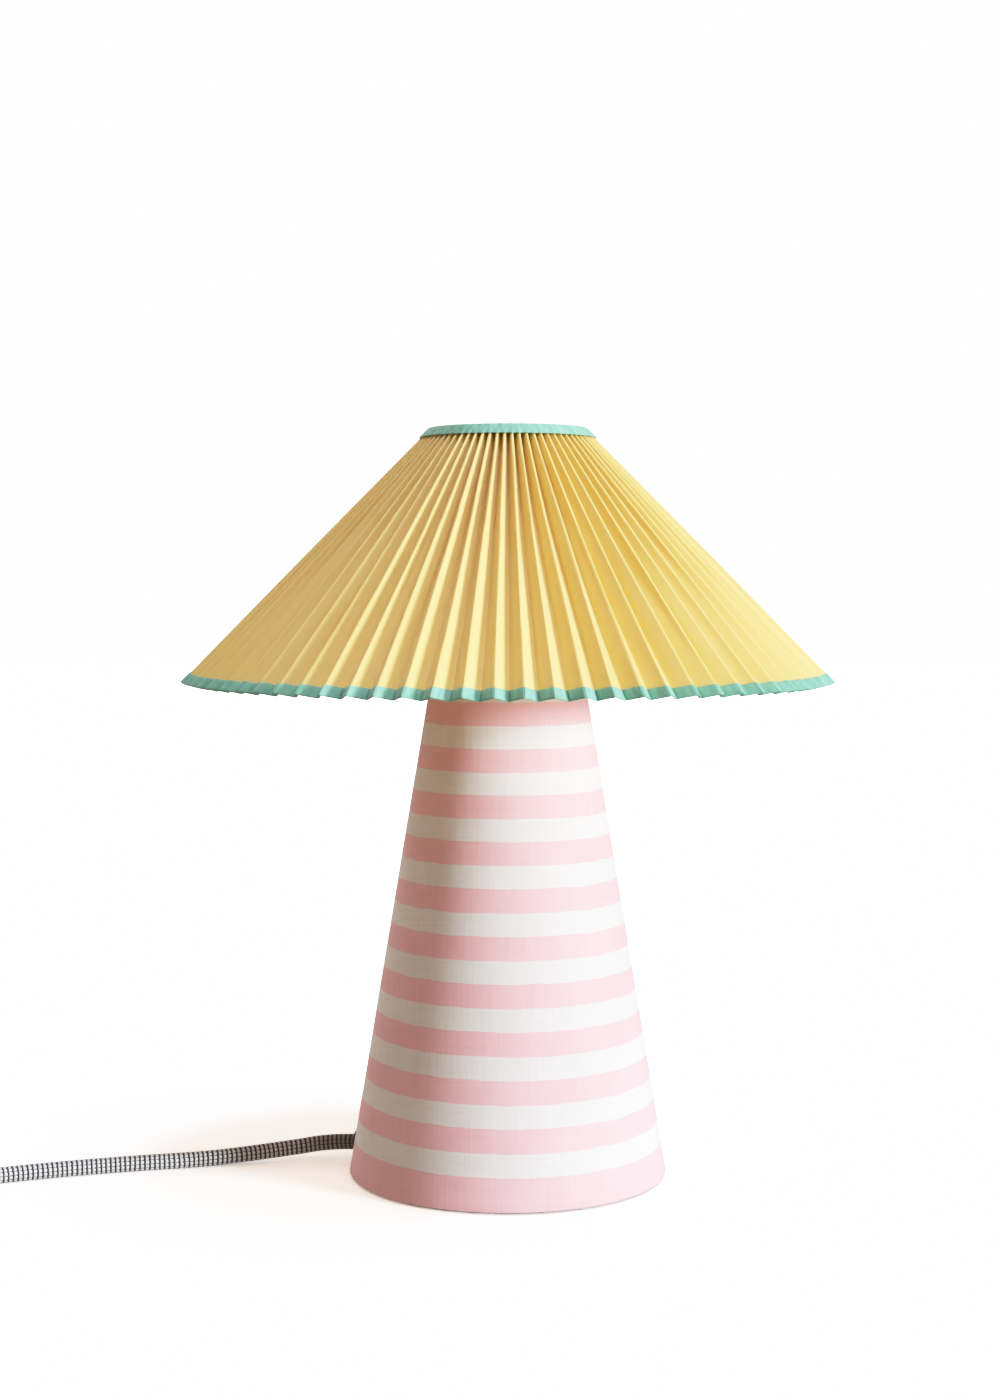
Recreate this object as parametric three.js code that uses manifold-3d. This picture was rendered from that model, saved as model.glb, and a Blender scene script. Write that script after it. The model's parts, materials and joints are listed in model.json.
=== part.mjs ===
// A table lamp: a cloth-covered cone on a weighted foot, a lampholder and bulb on top of it, a
// pleated shade on a wire frame, and a braided mains cord with an in-line rocker switch and a plug.
// Millimetres, +Z up. The origin is the centre of the underside and the front is -Y.
import * as THREE from "three";
import { mergeVertices } from "three/addons/utils/BufferGeometryUtils.js";
import Module from "manifold-3d";

const wasm = await Module();
wasm.setup();

// ---------------------------------------------------------------- driving dimensions
const GAP = 0.3; // between pieces that touch on the real lamp

// Cone: the outside of the cloth has this radius at height z.
const CONE_FOOT_RADIUS = 73.9;
const CONE_TAPER = 0.167;
const CONE_BOTTOM = 1.8;
const CONE_TOP = 227;
const CLOTH = 0.6;
const BOARD = 2.4;
const coneRadius = (z) => CONE_FOOT_RADIUS - CONE_TAPER * z;
const boardOutside = (z) => coneRadius(z) - CLOTH - GAP;
const boardInside = (z) => boardOutside(z) - BOARD;

// Foot
const FELT_RADIUS = 71;
const FELT = 1.5;
const FOOT_RING_INSIDE = 58;
const FOOT_RING_TOP = 16;
const WEIGHT_TOP = 9.8;
const CABLE_SLOT_WIDTH = 17;
const CABLE_SLOT_END = 29;

// Cord
const CORD_RADIUS = 3.7;
const LEAD_RADIUS = 3;
const CORD_ANGLE = THREE.MathUtils.degToRad(165);
const CORD_HEIGHT = 8.4;
const BUSH_RADIUS = 4.9;
const BUSH_INNER_END = 52;
const BUSH_FACE = 74.7;

// Shade: the fold lines, as [radius, height] at the rim and at the top, midway through the sheet.
const PLEATS = 76;
const RIM_RIDGE = [148.8, 229.4];
const RIM_VALLEY = [142.1, 227.7];
const TOP_RIDGE = [38.2, 342.0];
const TOP_VALLEY = [29.8, 339.2];
const SHEET = 0.4;
const TAPE = 0.35;
const SHEET_END = 0.9; // how far the sheet stops short of the rim, inside the tape
const RIM_TAPE_WIDTH = 5.8;
const MOST_FOLD_OFFSET = 0.9;
const FRAME_WIRE = 1.5;
const RIB_WIRE = 1.25;
const FRAME_OFFSET = 2.6; // frame wires lie this far inside the valley line
const TOP_EDGE_WIRE = 0.9;
const TOP_EDGE = [35.4, 343.15];

// Lampholder, shade ring and bulb
const HOLDER_BASE = 229.3;
const FLANGE_TOP = 248;
const FITTER_INSIDE = 21;
const FITTER_OUTSIDE = 26.2;
const FITTER_THICKNESS = 1.6;
const SKIRT_RADIUS = 19.4;
const SKIRT_TOP = 276;
const RING_INSIDE = 19.8;
const RING_HEIGHT = 7;
const CONTACT_Z = 249.3;

// In-line switch
const SWITCH_LENGTH = 62;
const SWITCH_WIDTH = 26;
const SWITCH_HEIGHT = 19;
const SWITCH_SPLIT = 8;
const ROCKER_REST = THREE.MathUtils.degToRad(-8);
const ROCKER_PIVOT = 14.6;

// Plug
const PLUG_HEIGHT = 13.7;
const PLUG_LENGTH = 50;
const PIN_LENGTH = 19;
const PIN_SPACING = 18.6;

// Cord route: centre points from the bush to the switch.
const LAMP_CORD = [
  [-67.6, 18.1, 8.4],
  [-74.0, 19.8, 8.3],
  [-81.0, 21.0, 7.9],
  [-90.0, 21.2, 7.1],
  [-99.5, 19.4, 6.0],
  [-113.0, 15.8, 4.9],
  [-127.0, 11.0, 4.2],
  [-140.0, 6.6, 3.8],
  [-154.0, 2.6, 3.75],
  [-168.0, -0.8, 3.75],
  [-181.0, -4.3, 3.75],
  [-194.0, -8.3, 3.75],
  [-207.0, -12.7, 3.75],
  [-220.0, -17.5, 3.75],
  [-233.0, -23.2, 3.8],
  [-245.5, -30.6, 4.4],
  [-256.5, -40.0, 6.0],
  [-264.6, -50.0, 7.6],
  [-270.3, -59.6, 8.0],
];
const SWITCH_HEADING = THREE.MathUtils.degToRad(240);
const SWITCH_ENTRY = [-268.0, -55.7];

// Cord from the switch to the coil, the coil itself, and from the coil to the plug.
const COIL_CORD = [
  [-295.0, -102.5, 8.0],
  [-299.0, -109.4, 8.0],
  [-303.1, -116.6, 7.4],
  [-307.2, -124.8, 6.2],
  [-310.2, -134.0, 5.1],
  [-311.6, -142.0, 4.75],
];
const COIL_CENTRE = [-260.7, -172];
const COIL_MIDDLE = 42.9;
const COIL_BAND = 12.9;
const COIL_BOTTOM = 0.9;
const COIL_HEIGHT = 15.1;
const TIE = 0.6;
const TIE_WIDTH = 8;
const TIE_ANGLE = THREE.MathUtils.degToRad(50);
const PLUG_CORD = [
  [-312.9, -201.2, 11.3],
  [-313.4, -212.0, 9.8],
  [-314.0, -226.0, 7.8],
  [-314.2, -238.0, 6.95],
  [-314.3, -249.6, 6.9],
];
const PLUG_ENTRY = [-314.3, -250];

// ---------------------------------------------------------------- colours
const colours = {
  pinkCloth: [0xf1c4cf, 0.9, 0],
  yellowCloth: [0xf3da8a, 0.9, 0],
  greenTape: [0x93ccbd, 0.85, 0],
  felt: [0x3a3836, 1, 0],
  board: [0xb79c74, 0.9, 0],
  wood: [0xcaa678, 0.8, 0],
  steel: [0x8d9094, 0.45, 1],
  wire: [0xe9e6df, 0.5, 0.2],
  brass: [0xc9a55a, 0.35, 1],
  blackPlastic: [0x1c1c1d, 0.5, 0],
  whitePlastic: [0xf2f0ea, 0.45, 0],
  ceramic: [0xe8e4da, 0.4, 0],
  opal: [0xfaf6ea, 0.25, 0],
  braid: [0x6b6b6b, 0.9, 0],
};

// ---------------------------------------------------------------- helpers
const group = new THREE.Group();

function add(name, geometry, look, parent = group) {
  const [color, roughness, metalness] = colours[look];
  const material = new THREE.MeshStandardMaterial({ color, roughness, metalness });
  const mesh = new THREE.Mesh(facingOut(geometry), material);
  mesh.name = name;
  parent.add(mesh);
  return mesh;
}

// The same surface with only positions, shared vertices and outward faces.
function facingOut(geometry) {
  const bare = new THREE.BufferGeometry();
  bare.setAttribute("position", geometry.getAttribute("position"));
  bare.setIndex(geometry.index);
  const merged = mergeVertices(bare, 1e-4);
  const index = merged.index.array;
  const a = new THREE.Vector3();
  const b = new THREE.Vector3();
  const c = new THREE.Vector3();
  let volume = 0;
  for (let i = 0; i < index.length; i += 3) {
    a.fromBufferAttribute(merged.attributes.position, index[i]);
    b.fromBufferAttribute(merged.attributes.position, index[i + 1]);
    c.fromBufferAttribute(merged.attributes.position, index[i + 2]);
    volume += a.dot(b.cross(c));
  }
  if (volume < 0) {
    for (let i = 0; i < index.length; i += 3) {
      [index[i + 1], index[i + 2]] = [index[i + 2], index[i + 1]];
    }
  }
  merged.computeVertexNormals();
  return merged;
}

function toSolid(geometry) {
  const merged = facingOut(geometry);
  return new wasm.Manifold(
    new wasm.Mesh({
      numProp: 3,
      vertProperties: new Float32Array(merged.attributes.position.array),
      triVerts: new Uint32Array(merged.index.array),
    }),
  );
}

function toGeometry(solid) {
  const mesh = solid.getMesh();
  const geometry = new THREE.BufferGeometry();
  geometry.setAttribute("position", new THREE.BufferAttribute(mesh.vertProperties, 3));
  geometry.setIndex(new THREE.BufferAttribute(mesh.triVerts, 1));
  return geometry;
}

const cut = (body, ...tools) =>
  toGeometry(tools.reduce((rest, tool) => rest.subtract(toSolid(tool)), toSolid(body)));
const join = (...bodies) =>
  toGeometry(bodies.map(toSolid).reduce((whole, body) => whole.add(body)));

// A turned piece about Z from [radius, height] points; a ring's profile closes on itself.
function turned(profile, segments) {
  const points = profile.map(([r, z]) => new THREE.Vector2(r, z));
  if (profile[0][0] > 0) points.push(points[0].clone());
  return new THREE.LatheGeometry(points, segments).rotateX(Math.PI / 2);
}

// A washer-shaped solid between two radii and two heights.
const washer = (inside, outside, low, high, segments = 32) =>
  turned([[inside, low], [outside, low], [outside, high], [inside, high]], segments);

function cylinder(radius, low, high, segments = 24) {
  return new THREE.CylinderGeometry(radius, radius, high - low, segments)
    .rotateX(Math.PI / 2)
    .translate(0, 0, (low + high) / 2);
}

function circle(radius, sides) {
  const shape = new THREE.Shape();
  for (let i = 0; i < sides; i += 1) {
    const turn = (2 * Math.PI * i) / sides;
    shape[i ? "lineTo" : "moveTo"](radius * Math.cos(turn), radius * Math.sin(turn));
  }
  shape.closePath();
  return shape;
}

// A round wire or cord along a smooth curve through the points.
function tube(points, radius, sides, steps) {
  const path = new THREE.CatmullRomCurve3(points.map((p) => new THREE.Vector3(...p)));
  return new THREE.ExtrudeGeometry(circle(radius, sides), { steps, extrudePath: path });
}

function box(x0, x1, y0, y1, z0, z1) {
  return new THREE.BoxGeometry(x1 - x0, y1 - y0, z1 - z0)
    .translate((x0 + x1) / 2, (y0 + y1) / 2, (z0 + z1) / 2);
}

// A prism along Z of an outline given as points.
function prism(outline, low, high, bevel = 0) {
  const shape = new THREE.Shape(outline.map(([x, y]) => new THREE.Vector2(x, y)));
  return new THREE.ExtrudeGeometry(shape, {
    depth: high - low - 2 * bevel,
    bevelEnabled: bevel > 0,
    bevelThickness: bevel,
    bevelSize: bevel,
    bevelOffset: -bevel,
    bevelSegments: 2,
  }).translate(0, 0, low + bevel);
}

function hexagon(radius) {
  return Array.from({ length: 6 }, (_, i) => {
    const turn = (Math.PI * i) / 3;
    return [radius * Math.cos(turn), radius * Math.sin(turn)];
  });
}

const mix = (a, b, t) => [a[0] + (b[0] - a[0]) * t, a[1] + (b[1] - a[1]) * t];

// ---------------------------------------------------------------- foot and cone
function alongCordAxis(geometry) {
  return geometry.rotateZ(CORD_ANGLE).translate(0, 0, CORD_HEIGHT);
}

// A turned piece about the cord's axis: [distance from the lamp's axis, radius] points.
function turnedOnCordAxis(profile, segments) {
  const flipped = profile.map(([x, r]) => [r, x]);
  return alongCordAxis(turned(flipped, segments).rotateY(Math.PI / 2));
}

function makeFoot() {
  add("felt_pad", cylinder(FELT_RADIUS, 0, FELT, 48), "felt");

  const wallHole = turnedOnCordAxis(
    [[40, 0], [40, BUSH_RADIUS + GAP], [90, BUSH_RADIUS + GAP], [90, 0]], 20);
  const ring = turned([
    [FOOT_RING_INSIDE, CONE_BOTTOM],
    [boardInside(CONE_BOTTOM) - GAP, CONE_BOTTOM],
    [boardInside(FOOT_RING_TOP) - GAP, FOOT_RING_TOP],
    [FOOT_RING_INSIDE, FOOT_RING_TOP],
  ], 48);
  add("foot_ring", cut(ring, wallHole), "wood");

  const slot = alongCordAxis(box(
    CABLE_SLOT_END, FOOT_RING_INSIDE + 5, -CABLE_SLOT_WIDTH / 2, CABLE_SLOT_WIDTH / 2, -20, 20));
  const disc = cylinder(FOOT_RING_INSIDE - GAP, CONE_BOTTOM, WEIGHT_TOP, 48);
  add("base_weight", cut(disc, slot), "steel");

  const former = turned([
    [boardInside(CONE_BOTTOM), CONE_BOTTOM],
    [boardOutside(CONE_BOTTOM), CONE_BOTTOM],
    [boardOutside(CONE_TOP), CONE_TOP],
    [boardInside(CONE_TOP), CONE_TOP],
  ], 48);
  add("cone_former", cut(former, wallHole), "board");

  const flap = CONE_TOP + GAP;
  const flapEnd = 17;
  const cover = turned([
    [coneRadius(CONE_BOTTOM) - CLOTH, CONE_BOTTOM],
    [coneRadius(CONE_BOTTOM), CONE_BOTTOM],
    [coneRadius(flap + CLOTH), flap + CLOTH],
    [flapEnd, flap + CLOTH],
    [flapEnd, flap],
    [coneRadius(flap) - CLOTH, flap],
  ], 48);
  add("cone_cover", cut(cover, wallHole), "pinkCloth");

  const discTop = CONE_TOP - GAP;
  const discBottom = 221;
  const topDisc = turned([
    [5.3, discBottom],
    [boardInside(discBottom) - GAP, discBottom],
    [boardInside(discTop) - GAP, discTop],
    [5.3, discTop],
  ], 32);
  add("cone_top_disc", topDisc, "wood");
}

function makeNipple() {
  add("threaded_nipple", washer(3.6, 5, 211, 233, 24), "brass");
  add("nipple_washer", washer(5.3, 10, 219.2, 220.7, 32), "steel");
  add("nipple_nut", cut(prism(hexagon(8.5), 213.9, 218.9), cylinder(5.3, 200, 230, 24)), "brass");
  add("cover_washer", washer(5.3, 16.4, CONE_TOP + GAP, 229), "steel");
}

function makeCordEntry() {
  const bore = CORD_RADIUS + GAP;
  const bush = turnedOnCordAxis([
    [BUSH_INNER_END, bore],
    [BUSH_FACE, bore],
    [BUSH_FACE, 5.6],
    [BUSH_FACE - 0.4, 6.1],
    [BUSH_FACE - 1, 6.1],
    [BUSH_FACE - 1, BUSH_RADIUS],
    [BUSH_INNER_END, BUSH_RADIUS],
  ], 20);
  add("cord_bush", bush, "blackPlastic");

  const nutEnd = FOOT_RING_INSIDE - 4 * GAP;
  const nut = turnedOnCordAxis([
    [nutEnd - 4, BUSH_RADIUS + GAP],
    [nutEnd, BUSH_RADIUS + GAP],
    [nutEnd, 6.2],
    [nutEnd - 4, 6.2],
  ], 12);
  add("bush_nut", nut, "blackPlastic");

  // The lead turns up inside the cone and runs to the lampholder through the nipple.
  const path = [
    [67.2, 8.4], [61, 8.4], [52, 8.4], [44, 9.5], [37, 12.6], [30, 18.2], [25, 25.6], [22.3, 35],
    [21, 50], [17, 90], [9, 140], [2.5, 180], [0, 197], [0, 215], [0, 234.5],
  ];
  const lead = path.map(([r, z]) => [r * Math.cos(CORD_ANGLE), r * Math.sin(CORD_ANGLE), z]);
  add("internal_lead", tube(lead, LEAD_RADIUS, 8, 26), "whitePlastic");
}

// ---------------------------------------------------------------- lampholder
function makeLampholder() {
  const capTop = 242;
  const cap = turned([
    [5.4, HOLDER_BASE],
    [14, HOLDER_BASE],
    [18.2, 232.4],
    [19.5, 236.5],
    [19.5, capTop],
    [17.9, capTop],
    [17.9, 237],
    [13.4, 231.3],
    [5.4, 231.3],
  ], 28);
  add("lampholder_cap", cap, "blackPlastic");

  const skirt = turned([
    [16.9, capTop + GAP],
    [SKIRT_RADIUS, capTop + GAP],
    [SKIRT_RADIUS, FLANGE_TOP - 2],
    [24.5, FLANGE_TOP - 2],
    [24.5, FLANGE_TOP],
    [SKIRT_RADIUS, FLANGE_TOP],
    [SKIRT_RADIUS, SKIRT_TOP],
    [16.9, SKIRT_TOP],
  ], 32);
  add("lampholder_skirt", skirt, "blackPlastic");

  const coreTop = 246.6;
  add("lampholder_core", cylinder(16.4, 238, coreTop, 28), "ceramic");
  for (const [index, x] of [[1, -9], [2, 9]]) {
    const screw = cylinder(2.2, 235.4, 237.7, 12).translate(x, 0, 0);
    add(`terminal_screw_${index}`, screw, "brass");
  }
  add("screw_shell", washer(13.9, 14.4, coreTop + GAP, 273, 28), "brass");

  const tongueLow = coreTop + GAP;
  const tongue = new THREE.Shape([
    [-9, 0], [-4, 0], [1, 1.3], [5, 1.3], [5, 1.9], [0.8, 1.9], [-4.2, 0.6], [-9, 0.6],
  ].map(([x, z]) => new THREE.Vector2(x, z)));
  const strip = new THREE.ExtrudeGeometry(tongue, { depth: 5, bevelEnabled: false })
    .rotateX(Math.PI / 2)
    .translate(0, 2.5, tongueLow);
  add("centre_contact", strip, "brass");
}

function makeBulb() {
  const bulb = new THREE.Group();
  group.add(bulb);
  add("bulb_contact", cylinder(4.4, CONTACT_Z, 251, 16), "steel", bulb);
  const insulator = turned([[0, 251.3], [5, 251.3], [11.4, 254.5], [0, 254.5]], 24);
  add("bulb_insulator", insulator, "blackPlastic", bulb);

  const capLow = 254.8;
  const capHigh = 275;
  const threadLow = 257;
  const threadPitch = 3.6;
  const threadTurns = 4;
  const capProfile = [[0, capLow], [12.2, capLow]];
  for (let i = 0; i <= 2 * threadTurns; i += 1) {
    capProfile.push([i % 2 ? 12.6 : 13.3, threadLow + (i * threadPitch) / 2]);
  }
  capProfile.push([13.1, capHigh], [0, capHigh]);
  add("bulb_screw_cap", turned(capProfile, 28), "steel", bulb);

  const collarTop = 284;
  add("bulb_collar", turned([
    [0, capHigh + GAP], [13.2, capHigh + GAP], [15.2, collarTop], [0, collarTop],
  ], 28), "whitePlastic", bulb);

  // Candle outline: a rounded belly that draws in to a blunt tip.
  const tip = 346;
  const widest = 17.4;
  const belly = 303;
  const glassLow = collarTop + GAP;
  const wall = 1;
  const outline = (z) => {
    const below = Math.cos(((belly - z) / (belly - glassLow)) * 0.62);
    const above = Math.sqrt(Math.max(0, 1 - ((z - belly) / (tip - belly)) ** 2)) ** 1.25;
    return widest * (z < belly ? below : above);
  };
  const heights = [glassLow, 293, 303, 312, 321, 329, 336, 341, 344.5];
  const outside = heights.map((z) => [outline(z), z]);
  const inside = heights.slice(0, -1).map((z) => [Math.max(outline(z) - wall, 1), z]);
  const envelope = [...outside, [0, tip], [0, tip - wall - 0.6], ...inside.reverse()];
  const start = envelope.findIndex(([r]) => r === 0) + 1;
  const fromAxis = [...envelope.slice(start), ...envelope.slice(0, start)];
  add("bulb_glass", turned(fromAxis, 24), "opal", bulb);
}

// ---------------------------------------------------------------- shade
const foldAngle = (k) => -Math.PI / 2 + (Math.PI * k) / PLEATS;
const isRidge = (k) => k % 2 === 1;

// Point k of the folded edge, at t from the top (0) to the rim (1), moved out by an offset
// across the fold and down the slope by a distance.
function foldPoint(k, t, thickness, down = 0) {
  const ridge = mix(TOP_RIDGE, RIM_RIDGE, t);
  const valley = mix(TOP_VALLEY, RIM_VALLEY, t);
  const depth = Math.hypot(ridge[0] - valley[0], ridge[1] - valley[1]);
  const across = [(ridge[0] - valley[0]) / depth, (ridge[1] - valley[1]) / depth];
  const half = ((ridge[0] + valley[0]) / 2) * Math.sin(Math.PI / PLEATS);
  const sine = half / Math.hypot(half, depth);
  const offset = Math.sign(thickness) * Math.min(Math.abs(thickness) / sine, MOST_FOLD_OFFSET * 2);
  const [top, rim] = isRidge(k) ? [TOP_RIDGE, RIM_RIDGE] : [TOP_VALLEY, RIM_VALLEY];
  const length = Math.hypot(rim[0] - top[0], rim[1] - top[1]);
  const along = [(rim[0] - top[0]) / length, (rim[1] - top[1]) / length];
  const base = isRidge(k) ? ridge : valley;
  const r = base[0] + across[0] * offset + along[0] * down;
  const z = base[1] + across[1] * offset + along[1] * down;
  return [r * Math.cos(foldAngle(k)), r * Math.sin(foldAngle(k)), z];
}

// A closed surface round the shade, through the same closed section at every fold. A panel is
// twisted, so its outside and inside are both divided from the upper ridge to the lower valley.
function roundTheFolds(sectionAt) {
  const sections = Array.from({ length: 2 * PLEATS }, (_, k) => sectionAt(k));
  const count = sections[0].length;
  const index = [];
  for (let k = 0; k < sections.length; k += 1) {
    const next = (k + 1) % sections.length;
    for (let j = 0; j < count; j += 1) {
      const above = (j + 1) % count;
      const a = k * count + j;
      const b = k * count + above;
      const c = next * count + above;
      const d = next * count + j;
      const rising = sections[k][above][2] > sections[k][j][2];
      if (isRidge(k) === rising) {
        index.push(a, b, d, b, c, d);
      } else {
        index.push(a, b, c, a, c, d);
      }
    }
  }
  const geometry = new THREE.BufferGeometry();
  const positions = new Float32Array(sections.flat(2));
  geometry.setAttribute("position", new THREE.BufferAttribute(positions, 3));
  geometry.setIndex(index);
  return geometry;
}

function makeShadeSheet(shade) {
  const topHalf = 0.15;
  const rows = [0, 0.2, 0.45, 0.72, 1];
  const sheetSide = (k, side) => rows.map((t) => {
    const half = topHalf + (SHEET / 2 - topHalf) * t;
    return foldPoint(k, t, side * half, t === 1 ? -SHEET_END : 0);
  });
  const sheet = roundTheFolds((k) => [...sheetSide(k, 1), ...sheetSide(k, -1).reverse()]);
  add("pleated_shade", sheet, "yellowCloth", shade);

  const near = SHEET / 2 + GAP;
  const far = near + TAPE;
  const rimTape = roundTheFolds((k) => [
    foldPoint(k, 1, far, -RIM_TAPE_WIDTH),
    foldPoint(k, 1, far, 0),
    foldPoint(k, 1, -far, 0),
    foldPoint(k, 1, -far, -RIM_TAPE_WIDTH),
    foldPoint(k, 1, -near, -RIM_TAPE_WIDTH),
    foldPoint(k, 1, -near, GAP - SHEET_END),
    foldPoint(k, 1, near, GAP - SHEET_END),
    foldPoint(k, 1, near, -RIM_TAPE_WIDTH),
  ]);
  add("rim_binding", rimTape, "greenTape", shade);

  // The top tape folds over the edge wire and takes in the ends of the pleats on both sides.
  const topTape = turned([
    [41.15, 341.35], [39.2, 343.4], [37.4, 344.6], [35.4, 345], [33.4, 344.4], [27.8, 339.3],
    [29.7, 336.97], [30.09, 337.36], [28.45, 339.0], [33.6, 343.55], [35.4, 344.45],
    [37.1, 344.0], [39.0, 342.75], [40.72, 340.98],
  ], 48);
  add("top_binding", topTape, "greenTape", shade);
  const edge = new THREE.TorusGeometry(TOP_EDGE[0], TOP_EDGE_WIRE, 6, 38)
    .translate(0, 0, TOP_EDGE[1]);
  add("top_edge_wire", edge, "wire", shade);
}

// A point inside the valley line: a distance down the slope, and an offset towards the axis.
function insideValley(down, offset) {
  const run = [RIM_VALLEY[0] - TOP_VALLEY[0], RIM_VALLEY[1] - TOP_VALLEY[1]];
  const length = Math.hypot(...run);
  const along = [run[0] / length, run[1] / length];
  return [
    TOP_VALLEY[0] + along[0] * down + along[1] * offset,
    TOP_VALLEY[1] + along[1] * down - along[0] * offset,
  ];
}

function makeShadeFrame(shade) {
  const length = Math.hypot(RIM_VALLEY[0] - TOP_VALLEY[0], RIM_VALLEY[1] - TOP_VALLEY[1]);
  const galleryDown = 4;
  const lowerDown = length - 12;
  const gallery = insideValley(galleryDown, FRAME_OFFSET);
  const lower = insideValley(lowerDown, FRAME_OFFSET);
  const wireRing = ([r, z], segments) =>
    new THREE.TorusGeometry(r, FRAME_WIRE, 6, segments).translate(0, 0, z);
  add("gallery_ring", wireRing(gallery, 32), "wire", shade);
  add("lower_ring", wireRing(lower, 60), "wire", shade);

  const ribStart = insideValley(galleryDown + FRAME_WIRE + GAP, FRAME_OFFSET);
  const ribEnd = insideValley(lowerDown - FRAME_WIRE - GAP, FRAME_OFFSET);
  for (let i = 0; i < 4; i += 1) {
    const rib = tube([[ribStart[0], 0, ribStart[1]], [ribEnd[0], 0, ribEnd[1]]], RIB_WIRE, 8, 1);
    rib.rotateZ(Math.PI / 4 + (i * Math.PI) / 2);
    add(`rib_${i + 1}`, rib, "wire", shade);
  }

  const fitterLow = FLANGE_TOP + GAP;
  const fitterHigh = fitterLow + FITTER_THICKNESS;
  const fitterMiddle = (fitterLow + fitterHigh) / 2;
  add("fitter_ring", washer(FITTER_INSIDE, FITTER_OUTSIDE, fitterLow, fitterHigh), "wire", shade);
  const armTop = gallery[1] - FRAME_WIRE - GAP;
  const armPath = [
    [gallery[0], armTop], [gallery[0], 310], [gallery[0], 285], [gallery[0], 266],
    [gallery[0] - 0.2, 258], [gallery[0] - 1.1, 252.6], [28.4, fitterMiddle + 0.35],
    [FITTER_OUTSIDE + 2 * GAP, fitterMiddle],
  ];
  for (let i = 0; i < 3; i += 1) {
    const arm = tube(armPath.map(([r, z]) => [r, 0, z]), FRAME_WIRE, 6, 16);
    arm.rotateZ(Math.PI / 2 + (i * 2 * Math.PI) / 3);
    add(`spider_arm_${i + 1}`, arm, "wire", shade);
  }
}

function makeShadeRing(shade) {
  const lobes = 24;
  const outline = Array.from({ length: 2 * lobes }, (_, i) => {
    const radius = i % 2 ? 24.8 : 25.7;
    const turn = (Math.PI * i) / lobes;
    return [radius * Math.cos(turn), radius * Math.sin(turn)];
  });
  const low = FLANGE_TOP + FITTER_THICKNESS + 2 * GAP;
  const ring = cut(prism(outline, low, low + RING_HEIGHT), cylinder(RING_INSIDE, 200, 300, 36));
  add("shade_ring", ring, "blackPlastic", shade);
}

// ---------------------------------------------------------------- in-line switch
// Outline of a rounded bar along X, from 0 to a length.
function barOutline(length, width, corner, inset = 0) {
  const points = [];
  const corners = [
    [length - corner, width / 2 - corner, 0], [corner, width / 2 - corner, 90],
    [corner, corner - width / 2, 180], [length - corner, corner - width / 2, 270],
  ];
  const perCorner = 4;
  for (const [x, y, start] of corners) {
    for (let i = 0; i <= perCorner; i += 1) {
      const turn = THREE.MathUtils.degToRad(start + (90 * i) / perCorner);
      points.push([
        x + (corner - inset) * Math.cos(turn),
        y + (corner - inset) * Math.sin(turn),
      ]);
    }
  }
  return points;
}

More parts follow.
